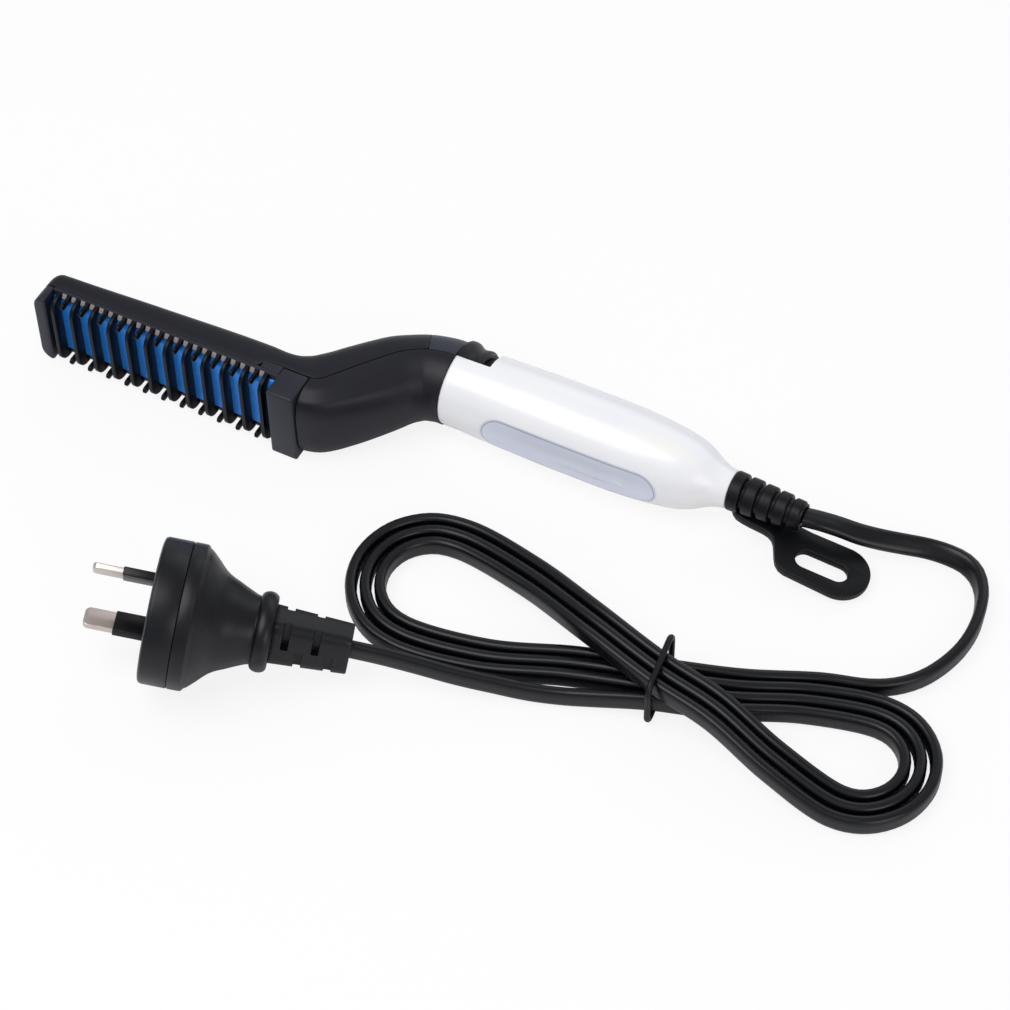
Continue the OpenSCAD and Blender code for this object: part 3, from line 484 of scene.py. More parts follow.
TAIL_POINTS = [
    (-80.1, -90.6, 10.5, 0), (-70.8, -87.8, 8.6, 0), (-61, -85.1, 6.7, 0), (-51.5, -82, 5, 0),
    (-42.6, -79.2, 3.8, 0), (-34, -76.1, 3.4, 0), (-26.2, -73.4, 4.1, 0),
]
PLUG_AT, PLUG_YAW, PLUG_PITCH, PLUG_ROLL, PLUG_LEN = (-136.1, -111.1), 20.3, 10.3, -13, 52.7
DISC_R, DISC_T, DISC_EASE, FLOOR_GAP = 19.5, 12, 0.06, 0.02

# Hank: a figure of eight, whose strands from the left lobe's front pass under at the waist
HANK_X, HANK_Y, HANK_BOW, BOW_REACH = -13.3, -60.8, 1.2, 70
LOBE_LEFT, LOBE_RIGHT, ROUND_LEFT, ROUND_RIGHT, LOBE_STEP = 82.5, 67.5, 14.2, 11.4, 4
WAIST_SHIFT, WAIST_SHARE, STRAND_LOW = 2.5, 0.35, 2.95
UNDER_LIFT, UNDER_REACH, OVER_LIFT, OVER_FLAT, OVER_REACH = 2.3, 45, 8.7, 18, 44
PER_LOOP, LOBE_RINGS, HANK_LOOPS = 24, 6, 3
HANK_LAST = HANK_LOOPS * PER_LOOP + 2
RUN_RINGS = (PER_LOOP / 2 - LOBE_RINGS) / 2
RUN_LEFT, RUN_RIGHT = LOBE_LEFT - ROUND_LEFT, LOBE_RIGHT - ROUND_RIGHT


def lobe_at(x, r, a):
    return x + r * cos(radians(a)), r * sin(radians(a))


def run_at(x, full, waist, reach):
    """Place on a strand's way out from the waist to a lobe, which keeps the strands side by side."""
    u = abs(x) / full
    out = WAIST_SHARE * sin(pi * u / 2) + (1 - WAIST_SHARE) * (1 - cos(pi * u)) / 2
    return x, waist + (reach - waist) * out


def waist_at(r_right, r_left):
    return (RUN_LEFT * r_right - RUN_RIGHT * r_left) / (RUN_LEFT + RUN_RIGHT)


def loop_place(t, r_right, r_in, r_out):
    """Place at ring t of a loop: 0 is the waist on the lower level, going to the right lobe's back."""
    half, turn = PER_LOOP / 2, 180 / LOBE_RINGS
    under, over = waist_at(r_right, r_in) - WAIST_SHIFT, -waist_at(r_right, r_out) - WAIST_SHIFT
    if t < -RUN_RINGS:
        return lobe_at(-RUN_LEFT, r_in, 270 + (t + RUN_RINGS) * turn)
    if t < 0:
        return run_at(RUN_LEFT * t / RUN_RINGS, RUN_LEFT, under, -r_in)
    if t <= RUN_RINGS:
        return run_at(RUN_RIGHT * t / RUN_RINGS, RUN_RIGHT, under, r_right)
    if t <= half - RUN_RINGS:
        return lobe_at(RUN_RIGHT, r_right, 90 - (t - RUN_RINGS) * turn)
    if t <= half:
        return run_at(RUN_RIGHT * (half - t) / RUN_RINGS, RUN_RIGHT, over, -r_right)
    if t <= half + RUN_RINGS:
        return run_at(RUN_LEFT * (half - t) / RUN_RINGS, RUN_LEFT, over, r_out)
    return lobe_at(-RUN_LEFT, r_out, 90 + (t - half - RUN_RINGS) * turn)


def hank_point(i):
    """Ring i of the hank as the route's points are: x, y, z and roll."""
    loop = floor(i / PER_LOOP + 0.25)
    t = i - loop * PER_LOOP
    r_in = ROUND_LEFT + (HANK_LOOPS - loop) * LOBE_STEP
    x, y = loop_place(t, ROUND_RIGHT + loop * LOBE_STEP, r_in, r_in - LOBE_STEP)
    if t > PER_LOOP / 4:
        lift = OVER_LIFT * (1 - smooth((abs(x) - OVER_FLAT) / OVER_REACH))
    else:
        lift = UNDER_LIFT * (1 - smooth(abs(x) / UNDER_REACH))
    return HANK_X + x, HANK_Y + y + HANK_BOW * (x / BOW_REACH) ** 2, STRAND_LOW + lift, 0


def plug_matrix():
    """Carries the plug's own axis, from the middle of its face, to where it lies."""
    pitch, yaw = radians(PLUG_PITCH), radians(PLUG_YAW)
    z = DISC_R * cos(pitch) + DISC_T * sin(pitch) + FLOOR_GAP
    place = at(BUSH_END + PLUG_AT[0], -PLUG_AT[1], z - HALF)
    turn = Matrix.Rotation(yaw, 4, "Z") @ Matrix.Rotation(pitch, 4, "Y")
    return Matrix.Translation(place) @ turn @ Matrix.Rotation(radians(PLUG_ROLL), 4, "X")


AT_PLUG = plug_matrix()


def cord_route():
    """The whole lead from the bush to the plug as (place, roll), through the route's points."""
    def spot(p):
        return at(BUSH_END + p[0], -p[1], p[2] - HALF), p[3]

    lead = [spot(p) for p in LEAD_POINTS]
    hank = [spot(hank_point(i)) for i in range(HANK_LAST, -1, -1)]
    tail = [spot(p) for p in reversed(TAIL_POINTS)]
    end = AT_PLUG @ Vector((PLUG_LEN * MM, 0, 0))
    return lead + hank + tail + [(end, 0)]


def spline(knots, step):
    """Points about step apart on a centripetal curve through the knots."""
    pts = [k[0] for k in knots]
    rolls = [k[1] for k in knots]
    pts = [pts[0] * 2 - pts[1]] + pts + [pts[-1] * 2 - pts[-2]]
    out = []
    for i in range(1, len(pts) - 2):
        p0, p1, p2, p3 = pts[i - 1:i + 3]
        t1 = (p1 - p0).length ** 0.5
        t2 = t1 + (p2 - p1).length ** 0.5
        t3 = t2 + (p3 - p2).length ** 0.5
        n = max(1, round((p2 - p1).length / step))
        for j in range(n):
            t = t1 + (t2 - t1) * j / n
            a1 = p0 * ((t1 - t) / t1) + p1 * (t / t1)
            a2 = p1 * ((t2 - t) / (t2 - t1)) + p2 * ((t - t1) / (t2 - t1))
            a3 = p2 * ((t3 - t) / (t3 - t2)) + p3 * ((t - t2) / (t3 - t2))
            b1 = a1 * ((t2 - t) / t2) + a2 * (t / t2)
            b2 = a2 * ((t3 - t) / (t3 - t1)) + a3 * ((t - t1) / (t3 - t1))
            roll = rolls[i - 1] + (rolls[i] - rolls[i - 1]) * smooth(j / n)
            out.append((b1 * ((t2 - t) / (t2 - t1)) + b2 * ((t - t1) / (t2 - t1)), roll))
    out.append((pts[-2], rolls[-1]))
    return out


def cord_section():
    """Flat lead of two cores: a stadium with a shallow groove down each flat side."""
    pts = []
    for i in range(CORD_SIDES):
        a = 2 * pi * (i + 0.5) / CORD_SIDES
        b = CORD_W / 2 * copysign(abs(sin(a)) ** CORD_SQUARE[0], sin(a))
        c = CORD_T / 2 * copysign(abs(cos(a)) ** CORD_SQUARE[1], cos(a))
        c *= 1 - GROOVE_DEPTH * exp(-(b / GROOVE_HALF) ** 2)
        pts.append((c, b))
    return pts


CORD_STEP = 2.2


def make_cord():
    path = spline(cord_route(), CORD_STEP * MM)
    section = cord_section()
    rings, length = [], 0.0
    for i, (p, roll) in enumerate(path):
        before, after = path[max(0, i - 1)][0], path[min(len(path) - 1, i + 1)][0]
        along = (after - before).normalized()
        across = along.cross(Vector((0, 0, 1))).normalized()
        up = across.cross(along)
        length += (after - p).length
        r = radians(roll)
        rings.append([p + across * (c * cos(r) + b * sin(r)) * MM
                      + up * (b * cos(r) - c * sin(r)) * MM for c, b in section])
    m = len(section)
    faces = band(m, len(rings)) + [tuple(range(m)), tuple((len(rings) - 1) * m + j for j in range(m))]
    cord = tidy_up(new_piece("flat_lead", [p for ring in rings for p in ring], (), faces))
    smooth_shade(cord, 60)
    return cord, [tuple(p) for p, _ in path], length


# Handle
SLEEVE_LEN, SLEEVE_R, TAIL_R, SLEEVE_WALL, SLEEVE_STEP = 84.5, 12.5, 5.5, 1.4, 1.5
END_EASE = {0: 0.35, 0.15: 0.15, 0.4: 0.03, 84.35: 0.08, SLEEVE_LEN: 0.3}
SLEEVE_CURVE = [(0, 11.7), (14, 12.1), (34, 12.5), (55, 12.3), (69, 10.9), (75, 9.2), (80, 6.6), (84.5, 5.5)]
NOTCH_LEN, NOTCH_Y, PAST = 10.6, 0.4, 20


def sleeve_r(x):
    return min(SLEEVE_R, curve_at(SLEEVE_CURVE, x))


def make_sleeve():
    """Hollow tube whose outside draws in a little at both ends, with a notch for the switch."""
    xs = sorted({*END_EASE, 0.8, 84.1, NOTCH_LEN} | {SLEEVE_STEP * i for i in range(1, 56)})
    outer = [(x, sleeve_r(x) - END_EASE.get(x, 0)) for x in xs]
    inner = [(x, max(TAIL_R - SLEEVE_WALL, sleeve_r(x) - SLEEVE_WALL)) for x in reversed(xs)]
    sleeve = turned("handle_tube", outer + inner + outer[:1], 96)
    notch = box("notch", -2, NOTCH_LEN, -PAST, -NOTCH_Y, -PAST, PAST)
    bevel(notch, 0.4, 3)
    cut(sleeve, notch)
    smooth_shade(sleeve, 30)
    dress(sleeve, "pearl", nodes=["handle_sleeve"])


LABEL_X, LABEL_LEN, LABEL_W, LABEL_T, LABEL_RIM = 13.5, 53.5, 12.4, 0.12, 0.45


def make_label():
    """Thin pill wrapped on the front of the sleeve, with a skirt and a printed outline."""
    r, arc_steps, runs = LABEL_W / 2, 20, 40
    span, middle_r = LABEL_LEN - 2 * r, sleeve_r(LABEL_X + LABEL_LEN / 2)
    outline = []
    for side in (1, -1):
        x0 = LABEL_X + (LABEL_LEN - r if side > 0 else r)
        turns = [pi * i / arc_steps for i in range(arc_steps + 1)]
        outline += [(x0 + side * r * sin(a), side * r * cos(a)) for a in turns]
        outline += [(x0 - side * span * i / runs, -side * r) for i in range(1, runs)]
    insets = [(0, -0.35), (0, 0), (0.09, LABEL_T)]
    insets += [(LABEL_RIM + d, LABEL_T) for d in (0, 0.05, 0.35, 0.4)]
    insets += [(r * share, LABEL_T) for share in (0.3, 0.5, 0.7, 0.85)]
    rings, rim = [], []
    for inset, lift in insets:
        ring = []
        for x, s in outline:
            k = 1 - inset / r
            core = min(max(x, LABEL_X + r), LABEL_X + LABEL_LEN - r)
            px, a = core + (x - core) * k, s * k / middle_r
            reach = sleeve_r(px) + lift
            ring.append(at(px, reach * cos(a), reach * sin(a)))
        rings.append(ring)
        rim.append(1.0 if abs(inset - LABEL_RIM - 0.2) < 0.16 else 0.0)
    m = len(outline)
    faces = band(m, len(rings)) + [tuple((len(rings) - 1) * m + j for j in range(m))]
    label = new_piece("label_pill", [p for ring in rings for p in ring], (), faces)
    edit()
    bpy.ops.mesh.normals_make_consistent(inside=False)
    leave_edit()
    values = label.data.attributes.new("rim", "FLOAT", "POINT")
    values.data.foreach_set("value", [v for v in rim for _ in range(m)])
    smooth_shade(label, 40)
    dress(label, "label", nodes=["label_plate"])


# Neck and head: stations on the frame's parting line: x, n, turn and reach of the front, then of the back
NECK_R, SHELL_WALL, BRIDGE_LEN, SEAT_N, HEAD_JOINT = 12, 1.7, 7.7, 28, 46
NOSE_X, NOSE_ROUND, NOSE_T, BLOCK_X0, BLOCK_X1, BLOCK_N, FOOT_DEEP = 116.5, 3.8, 4, 40, 31.8, 35.5, 2.5
PATH = [
    (0, 0, 0, 1, 0, 1), (-3, 0.1, 6, 1, 6, 1), (-BRIDGE_LEN, 1.3, 21, 1, 22, 1),
    (-11, 3.1, 34, 0.99, 37, 1), (-14.4, 5.7, 45, 0.98, 47, 1), (-18.1, 10.1, 52, 0.97, 52, 1),
    (-21.8, 14.9, 52, 0.93, 52, 1), (-25.3, 19.7, 49, 0.86, 48, 1.01),
    (-29.2, 24.6, 30, 0.77, 36, 1.07), (-33, 25.5, 12, 0.78, 31, 0.93),
    (-36.5, 25.5, 4, 0.78, 26, 0.8), (-41, 25.5, 0, 0.78, 15, 0.715),
    (-45.8, 25.5, 0, 0.78, 0, 0.7),
]
BACK_CURVE = [(-NOSE_X, 20.6), (-84, 18.8), (-HEAD_JOINT, 17)]
ARC, SEAM_GAP = 36, 0.16
CREASE_DEPTH, FLANK_AT, FLANK_WIDE = 0.55, 62, 13


def c_ring(x, n, turn, reach, half, square, side, lift=0.0, crease=0.0):
    """Open C of a section, round the front or back, with a softly dished flank where it is creased."""
    ring, t = [], radians(turn)
    for i in range(ARC + 1):
        a = radians(180 * i / ARC - 90)
        b = reach * abs(cos(a)) ** (2 / square)
        b = lift + b * (1 - lift / max(reach, 0.01))
        h = half * copysign(abs(sin(a)) ** (2 / square), a)
        flank = exp(-((abs(degrees(a)) - FLANK_AT) / FLANK_WIDE) ** 2)
        h -= copysign(CREASE_DEPTH * crease * flank, h)
        ring.append(at(x + side * b * sin(t), n + side * b * cos(t), h))
    return ring


def station(s, side):
    """Section values at a real-numbered station of the path, through its neighbours."""
    i = min(int(s), len(PATH) - 2)
    f = s - i
    rows = [PATH[max(0, min(len(PATH) - 1, i + k))] for k in (-1, 0, 1, 2)]
    w = (-0.5 * f + f * f - 0.5 * f ** 3, 1 - 2.5 * f * f + 1.5 * f ** 3,
         0.5 * f + 2 * f * f - 1.5 * f ** 3, -0.5 * f * f + 0.5 * f ** 3)
    row = [sum(w[k] * rows[k][c] for k in range(4)) for c in range(6)]
    turn, reach = (row[2], row[3]) if side > 0 else (row[4], row[5])
    square = 2 + 1.6 * smooth((s - 2) / 7)
    half = NECK_R + (HALF - NECK_R) * smooth((s - 3) / 7)
    return row[0], row[1], turn, NECK_R * reach, half, square


def head_section(x):
    d = max(0.0, NOSE_ROUND - (NOSE_X + x))
    shrink = NOSE_ROUND - sqrt(max(0.0, NOSE_ROUND ** 2 - d * d))
    return x, SEAT_N, 0, SEAT_N - curve_at(BACK_CURVE, x) - 0.8 * shrink, HALF - shrink, 4.2


def shell_piece(name, rings, close_last=False):
    """Open shell over the rings, whose last ring can be closed with a face."""
    obj = loft(name, rings, closed=False)
    if close_last:
        cap(obj, rings[-1])
    return tidy_up(obj)


def face_outwards(obj, inside_point):
    """Turns an open shell's faces away from a point within it."""
    away = sum((f.center - inside_point).dot(f.normal) * f.area for f in obj.data.polygons)
    if away < 0:
        obj.data.flip_normals()


def make_head_shell():
    rings = [c_ring(*station(2.012 + i * 0.25, -1), -1, SEAM_GAP) for i in range(40)]
    xs = [-47, -49, -52, -56, -60, -66, -72, -78, -84, -90, -96, -102, -107, -110.5]
    noses = [NOSE_ROUND * (1 - cos(radians(a))) for a in (78, 66, 54, 42, 30, 18, 8, 0)]
    rings += [c_ring(*head_section(x), -1) for x in xs]
    rings += [c_ring(*head_section(-NOSE_X + d), -1) for d in noses]
    shell = shell_piece("head_and_neck_back", rings, close_last=True)
    face_outwards(shell, at(-60, 24, 0))
    thicken(shell, SHELL_WALL)
    tidy_up(shell)
    bevel(shell, 0.22, 2, 40)
    smooth_shade(shell, 35)
    dress(shell, "shell", nodes=["head_shell"])


def make_bridge():
    rings = [c_ring(*station(s, -1), -1, SEAM_GAP) for s in [0.02 + i * 0.247 for i in range(9)]]
    bridge = shell_piece("bridge_cover", rings)
    face_outwards(bridge, at(-4, 0, 0))
    thicken(bridge, SHELL_WALL)
    bevel(bridge, 0.2, 2, 40)
    smooth_shade(bridge, 35)
    dress(bridge, "bridge", nodes=["switch_bridge"])


def neck_front_ring(s):
    crease = smooth((s - 2.6) / 3) * (1 - smooth((s - 8.6) / 1.2))
    return c_ring(*station(s, 1), 1, SEAM_GAP, crease)


def make_neck_front():
    stations = [0.015] + [0.2 * i for i in range(1, 51)]
    rings = [neck_front_ring(s) for s in stations]
    neck = shell_piece("neck_front_cover", rings)
    face_outwards(neck, at(-18, 10, 0))
    thicken(neck, SHELL_WALL)
    tidy_up(neck)
    trim = box("trim", -60, -BLOCK_X1 + 0.35, -10, 60, -20, 20)
    cut(neck, trim)
    bevel(neck, 0.22, 2, 40)
    smooth_shade(neck, 35)
    dress(neck, "shell", nodes=["neck_front"])


# Switch knob
KNOB_X, KNOB_LEN, KNOB_R, KNOB_IN = 0.3, 7.8, 13.0, 10.35


def make_knob():
    """Saddle-shaped slide: a hump at the bridge, a concave slope and a lower step."""
    outer = [(0, 12.4), (0.1, 12.8), (0.35, 12.98), (0.8, KNOB_R), (1.4, 12.99), (1.8, 12.9), (2.2, 12.7),
             (2.8, 12.3), (3.4, 11.98), (4.1, 11.8), (4.8, 11.8), (5.5, 11.93), (6.1, 12.05), (6.6, 12.08),
             (6.9, 11.95), (7.05, 11.6), (7.4, 11.5), (7.7, 11.4), (KNOB_LEN, 11.1)]
    outer = [(KNOB_X + x, r) for x, r in outer]
    profile = [(KNOB_X, KNOB_IN)] + outer + [(KNOB_X + KNOB_LEN, KNOB_IN), (KNOB_X, KNOB_IN)]
    knob = turned("slide_knob", profile, 96)
    keep_z = HALF - 0.2
    for n0, w0, w1 in ((-NOTCH_Y - 0.15, -PAST, PAST), (-PAST, keep_z, PAST), (-PAST, -PAST, -keep_z)):
        cut(knob, box("trim", -5, PAST, n0, PAST, w0, w1))
    post = box("knob_post", 3, 6.2, -KNOB_IN - 0.2, -5.4, -2.2, 2.2)
    bevel(knob, 0.12, 2, 50)
    smooth_shade(knob, 30)
    both = join("slide_knob", [knob, post])
    dress(both, "knob", "switch", ["switch_knob"])


# Comb
RIB_COUNT, RIB_PITCH, RIB_T, TOOTH_T = 12, 6.1, 1.2, 1.0
COMB_N, BAR_N, BAR_HALF, BAR_T, BAR_CHAMFER, BAR_GAP = 34.3, 30.7, 10.2, 3.9, 1.3, 0.1
RAIL_N, COMB_HALF, RIB_X0, RIB_ROUND = 29.2, 12.4, 42.4, 4.0
SEAT_HALF = BAR_HALF + BAR_GAP  # inner face of ribs, teeth and rails


def repeat(name, first, places):
    """Copies a piece along -X to each place, each copy with its own mesh, and joins them."""
    parts = [first]
    for d in places[1:]:
        copy = first.copy()
        copy.data = first.data.copy()
        bpy.context.scene.collection.objects.link(copy)
        copy.data.transform(Matrix.Translation((-d * MM, 0, 0)))
        parts.append(copy)
    return join(name, parts)


def make_ribs():
    inner = SEAT_HALF
    outline = [(-COMB_HALF, RAIL_N)] + arc(-COMB_HALF + RIB_ROUND, COMB_N - RIB_ROUND, RIB_ROUND, 180, 90, 10)
    outline += arc(COMB_HALF - RIB_ROUND, COMB_N - RIB_ROUND, RIB_ROUND, 90, 0, 10) + [(COMB_HALF, RAIL_N)]
    outline += [(inner, RAIL_N), (inner, BAR_N - BAR_CHAMFER), (inner - BAR_CHAMFER, BAR_N)]
    outline += [(-inner + BAR_CHAMFER, BAR_N), (-inner, BAR_N - BAR_CHAMFER), (-inner, RAIL_N)]
    rib = plate_across("rib", outline, RIB_X0, RIB_T)
    bevel(rib, 0.28, 3, 60)
    smooth_shade(rib, 40)
    ribs = repeat("comb_long_ribs", rib, [i * RIB_PITCH for i in range(RIB_COUNT)])
    dress(ribs, "comb", nodes=["comb_ribs"])


def make_teeth():
    inner, depth = SEAT_HALF, COMB_HALF - SEAT_HALF
    parts = []
    for side in (-1, 1):
        outline = [(inner, RAIL_N)] + arc(inner + depth / 2, COMB_N - 0.4 - depth / 2, depth / 2, 180, 0, 8)
        outline += [(inner + depth, RAIL_N)]
        outline = [(side * w, n) for w, n in outline]
        tooth = plate_across("tooth", outline, RIB_X0 + (RIB_PITCH + RIB_T - TOOTH_T) / 2, TOOTH_T)
        bevel(tooth, 0.25, 2, 50)
        smooth_shade(tooth, 40)
        parts.append(repeat("tooth_row", tooth, [i * RIB_PITCH for i in range(RIB_COUNT - 1)]))
    dress(join("comb_short_teeth", parts), "comb", nodes=["comb_teeth"])


def make_cage():
    """Rails, nose plate, and the end block with its foot that reaches the neck."""
    parts, plate_x = [], NOSE_T - NOSE_X
    for side in (-1, 1):
        w0, w1 = sorted((side * SEAT_HALF, side * COMB_HALF))
        rail = box("rail", plate_x, -BLOCK_X0 + 0.2, SEAT_N, RAIL_N, w0, w1)
        parts.append(bevel(rail, 0.15, 2))
    corner = arc(-NOSE_X + NOSE_ROUND, -HALF + NOSE_ROUND, NOSE_ROUND, 258, 180, 8)
    outline = [(plate_x, -HALF)] + corner + [(x, -w) for x, w in reversed(corner)] + [(plate_x, HALF)]
    plate = slab("nose_plate", *([at(x, n, w) for x, w in outline] for n in (SEAT_N, COMB_N)))
    parts.append(bevel(plate, 0.9, 4, 50))
    end = box("end_block", -BLOCK_X0, -BLOCK_X1, SEAT_N - FOOT_DEEP, BLOCK_N, -HALF, HALF)
    parts.append(bevel(end, 0.6, 3))
    foot = box("block_foot", PATH[-1][0], -BLOCK_X0 + 0.1, SEAT_N - FOOT_DEEP, SEAT_N, -HALF, HALF)
    hollow = box("foot_hollow", -47, -BLOCK_X0, 20, 30, -SEAT_HALF, SEAT_HALF)
    cut(foot, hollow)
    parts.append(bevel(foot, 0.1, 2))
    cage = join("comb_frame", parts)
    smooth_shade(cage, 35)
    dress(cage, "cage", nodes=["comb_cage"])


def make_root_facets():
    """Small slanted facets between the roots of ribs and teeth, on both long edges."""
    parts, pitch = [], RIB_PITCH / 2
    near, far, low, high = -0.25, 1.4 - pitch, RAIL_N - 0.05, RAIL_N + 0.95
    for side in (-1, 1):
        w_out, w_in = side * (COMB_HALF - 0.02), side * (BAR_HALF + 0.9)
        verts = [at(x, n, w) for x, n, w in (
            (near, low, w_out), (far, low, w_out), (far, high, w_in), (near, high, w_in),
            (near, low, w_in), (far, low, w_in))]
        faces = [(0, 1, 2, 3), (3, 2, 5, 4), (4, 5, 1, 0), (0, 3, 4), (1, 5, 2)]
        facet = tidy_up(new_piece("facet", verts, (), faces))
        facet.data.transform(Matrix.Translation(((-RIB_X0 - RIB_T) * MM, 0, 0)))
        bevel(facet, 0.08, 1)
        parts.append(repeat("facet_row", facet, [i * pitch for i in range(2 * RIB_COUNT - 2)]))
    dress(join("root_facets", parts), "root")


def make_bar():
    bar = box("hot_bar", -NOSE_X + NOSE_T + BAR_GAP, -BLOCK_X0, BAR_N - BAR_T, BAR_N, -BAR_HALF, BAR_HALF)
    focus(bar)
    edit("DESELECT")
    leave_edit()
    face_y, ends = at(0, BAR_N, 0).y, (at(0, 0, -BAR_HALF).z, at(0, 0, BAR_HALF).z)
    for e in bar.data.edges:
        a, b = (bar.data.vertices[i].co for i in e.vertices)
        long_edge = abs(a.x - b.x) > 0.01 and abs(a.y - face_y) < 1e-5
        e.select = long_edge and min(abs(a.z - z) for z in ends) < 1e-5
    bpy.ops.object.mode_set(mode="EDIT")
    bpy.ops.mesh.bevel(offset=BAR_CHAMFER * MM, segments=1)
    leave_edit()
    bevel(bar, 0.16, 2, 20)
    smooth_shade(bar, 25)
    dress(bar, "bar", nodes=["heater_bar"])


# Bush and hanging tab
RING_RADII, RING_PITCH, RING_LEN, LAST_RING_LEN = (5.65, 5.4, 5.1, 4.8, 4.3), 4.4, 3.45, 3.0
TAB_X, TAB_Z, TAB_DROP, TAB_T, TAB_END, TAB_ROUND, TAB_Y = 85.8, 6.3, 7.6, 2.5, 42, 8.2, -6.2
SLOT_LEN, SLOT_W, SLOT_AT, SLOT_TURN = 15, 5.6, (28.7, -7.4), 3


def make_bush():
    """Five rings of falling size on a thinning core, from inside the sleeve's tail to the lead."""
    outer = [(SLEEVE_LEN - 2, 4.05)]
    for i, r in enumerate(RING_RADII):
        x0, core = SLEEVE_LEN + i * RING_PITCH, 4.1 - 0.1 * i
        long = RING_LEN if i < len(RING_RADII) - 1 else LAST_RING_LEN
        outer += [(x0, core if i else 4.05), (x0, r - 0.5), (x0 + 0.12, r - 0.2), (x0 + 0.4, r),
                  (x0 + 1.5, r - 0.03), (x0 + long - 0.4, r - 0.1), (x0 + long - 0.12, r - 0.3),
                  (x0 + long, r - 0.6), (x0 + long, core)]
    outer += [(BUSH_END, 3.7), (BUSH_END, 3.0)]
    bush = turned("strain_bush", outer, 64)
    smooth_shade(bush, 30)
    return bush


def tab_outline():
    """Outer line of the hanging tab, in its own plane: a neck that widens to a rounded slot frame."""
    front = [(-0.2, -2.6), (0.8, -3.7), (2, -4.5), (4, -4.85), (6.4, -5), (8.6, -5), (10.5, -5.05),
             (12, -5.3), (13.3, -6), (14.3, -7.2), (15.2, -8.9), (16.2, -10.9), (17.3, -12.7),
             (18.8, -13.9), (20.6, -14.4)]
    back = [(22, 1.3), (18, 1.45), (14, 2.2), (9, 2.6), (-1, 2.6)]
    return front + arc(TAB_END - TAB_ROUND, TAB_Y, TAB_ROUND, -90, 90, 24) + back


def make_tab():
    tab = prism("hanging_tab", tab_outline(), 0, TAB_T)
    half, r = (SLOT_LEN - SLOT_W) / 2, SLOT_W / 2
    hole = prism("slot", arc(half, 0, r, 90, -90, 12) + arc(-half, 0, r, 270, 90, 12), -2, TAB_T + 2)
    turn = Matrix.Rotation(radians(SLOT_TURN), 4, "Z")
    hole.data.transform(Matrix.Translation((SLOT_AT[0] * MM, SLOT_AT[1] * MM, 0)) @ turn)
    cut(tab, hole)
    bevel(tab, 0.45, 3, 40)
    smooth_shade(tab, 35)
    place = Matrix.Translation(at(TAB_X, 0, TAB_Z - HALF)) @ Matrix.Rotation(radians(TAB_DROP), 4, "Y")
    tab.data.transform(place)
    return tab


def make_relief():
    for piece in (make_bush(), make_tab()):
        dress(piece, "bush", nodes=["strain_relief"])


# Tie
TIE_X, TIE_TURN, TIE_R, TIE_BEND, TIE_SIDES = -13, 7, 0.85, 2.5, 12
TIE_ROOM, TIE_LOW, TIE_TOP = 3.05, 1.72, 14.93
TIE_BOX = (waist_at(ROUND_RIGHT, ROUND_LEFT + HANK_LOOPS * LOBE_STEP) - WAIST_SHIFT - TIE_ROOM,
           waist_at(ROUND_RIGHT + HANK_LOOPS * LOBE_STEP, ROUND_LEFT) - WAIST_SHIFT + TIE_ROOM,
           TIE_LOW, TIE_TOP)


def make_tie():
    """Round cord bent to a box about the waist's strands."""
    y0, y1, z0, z1 = TIE_BOX
    line = []
    for cy, cz, a0 in ((y0, z0, 180), (y1, z0, 270), (y1, z1, 0), (y0, z1, 90)):
        middle = (cy + copysign(TIE_BEND, -cy), cz + (TIE_BEND if cz == z0 else -TIE_BEND))
        line += arc(*middle, TIE_BEND + TIE_R, a0, a0 + 90, 10)
    n, verts = len(line), []
    for i, (y, z) in enumerate(line):
        before, after = line[i - 1], line[(i + 1) % n]
        d = Vector((after[0] - before[0], after[1] - before[1])).normalized()
        for j in range(TIE_SIDES):
            a = 2 * pi * j / TIE_SIDES
            r = TIE_R * (1 + 0.02 * sin(3 * a))
            side = r * sin(a)
            verts.append(Vector((r * cos(a), y + side * d.y, z - side * d.x)) * MM)
    faces = band(TIE_SIDES, n, closed=True)
    tie = new_piece("lead_tie", verts, (), faces)
    place = Matrix.Translation(at(BUSH_END + TIE_X, -HANK_Y, -HALF))
    tie.data.transform(place @ Matrix.Rotation(radians(TIE_TURN), 4, "Z"))
    tidy_up(tie)
    smooth_shade(tie, 60)
    dress(tie, "tie", nodes=["cord_tie"])


# Plug
COLLAR_X, COLLAR_LEN, COLLAR_R, THROAT_R, GROOVE_X = 27.5, 4.6, 10.75, 9.1, 7.8
BELL = [(12, 18.5), (14.1, 17), (17.9, 13.4), (22.1, 11.3), (25.6, 9.7), (COLLAR_X, THROAT_R)]
PIN_ANGLES, PIN_R, PIN_T, PIN_W, PIN_LEN, PIN_SLEEVE = (-84, 36), 7.92, 1.6, 6.35, 17, 9
PIN_ROUND, SLEEVE_GROW = 1.5, 0.35


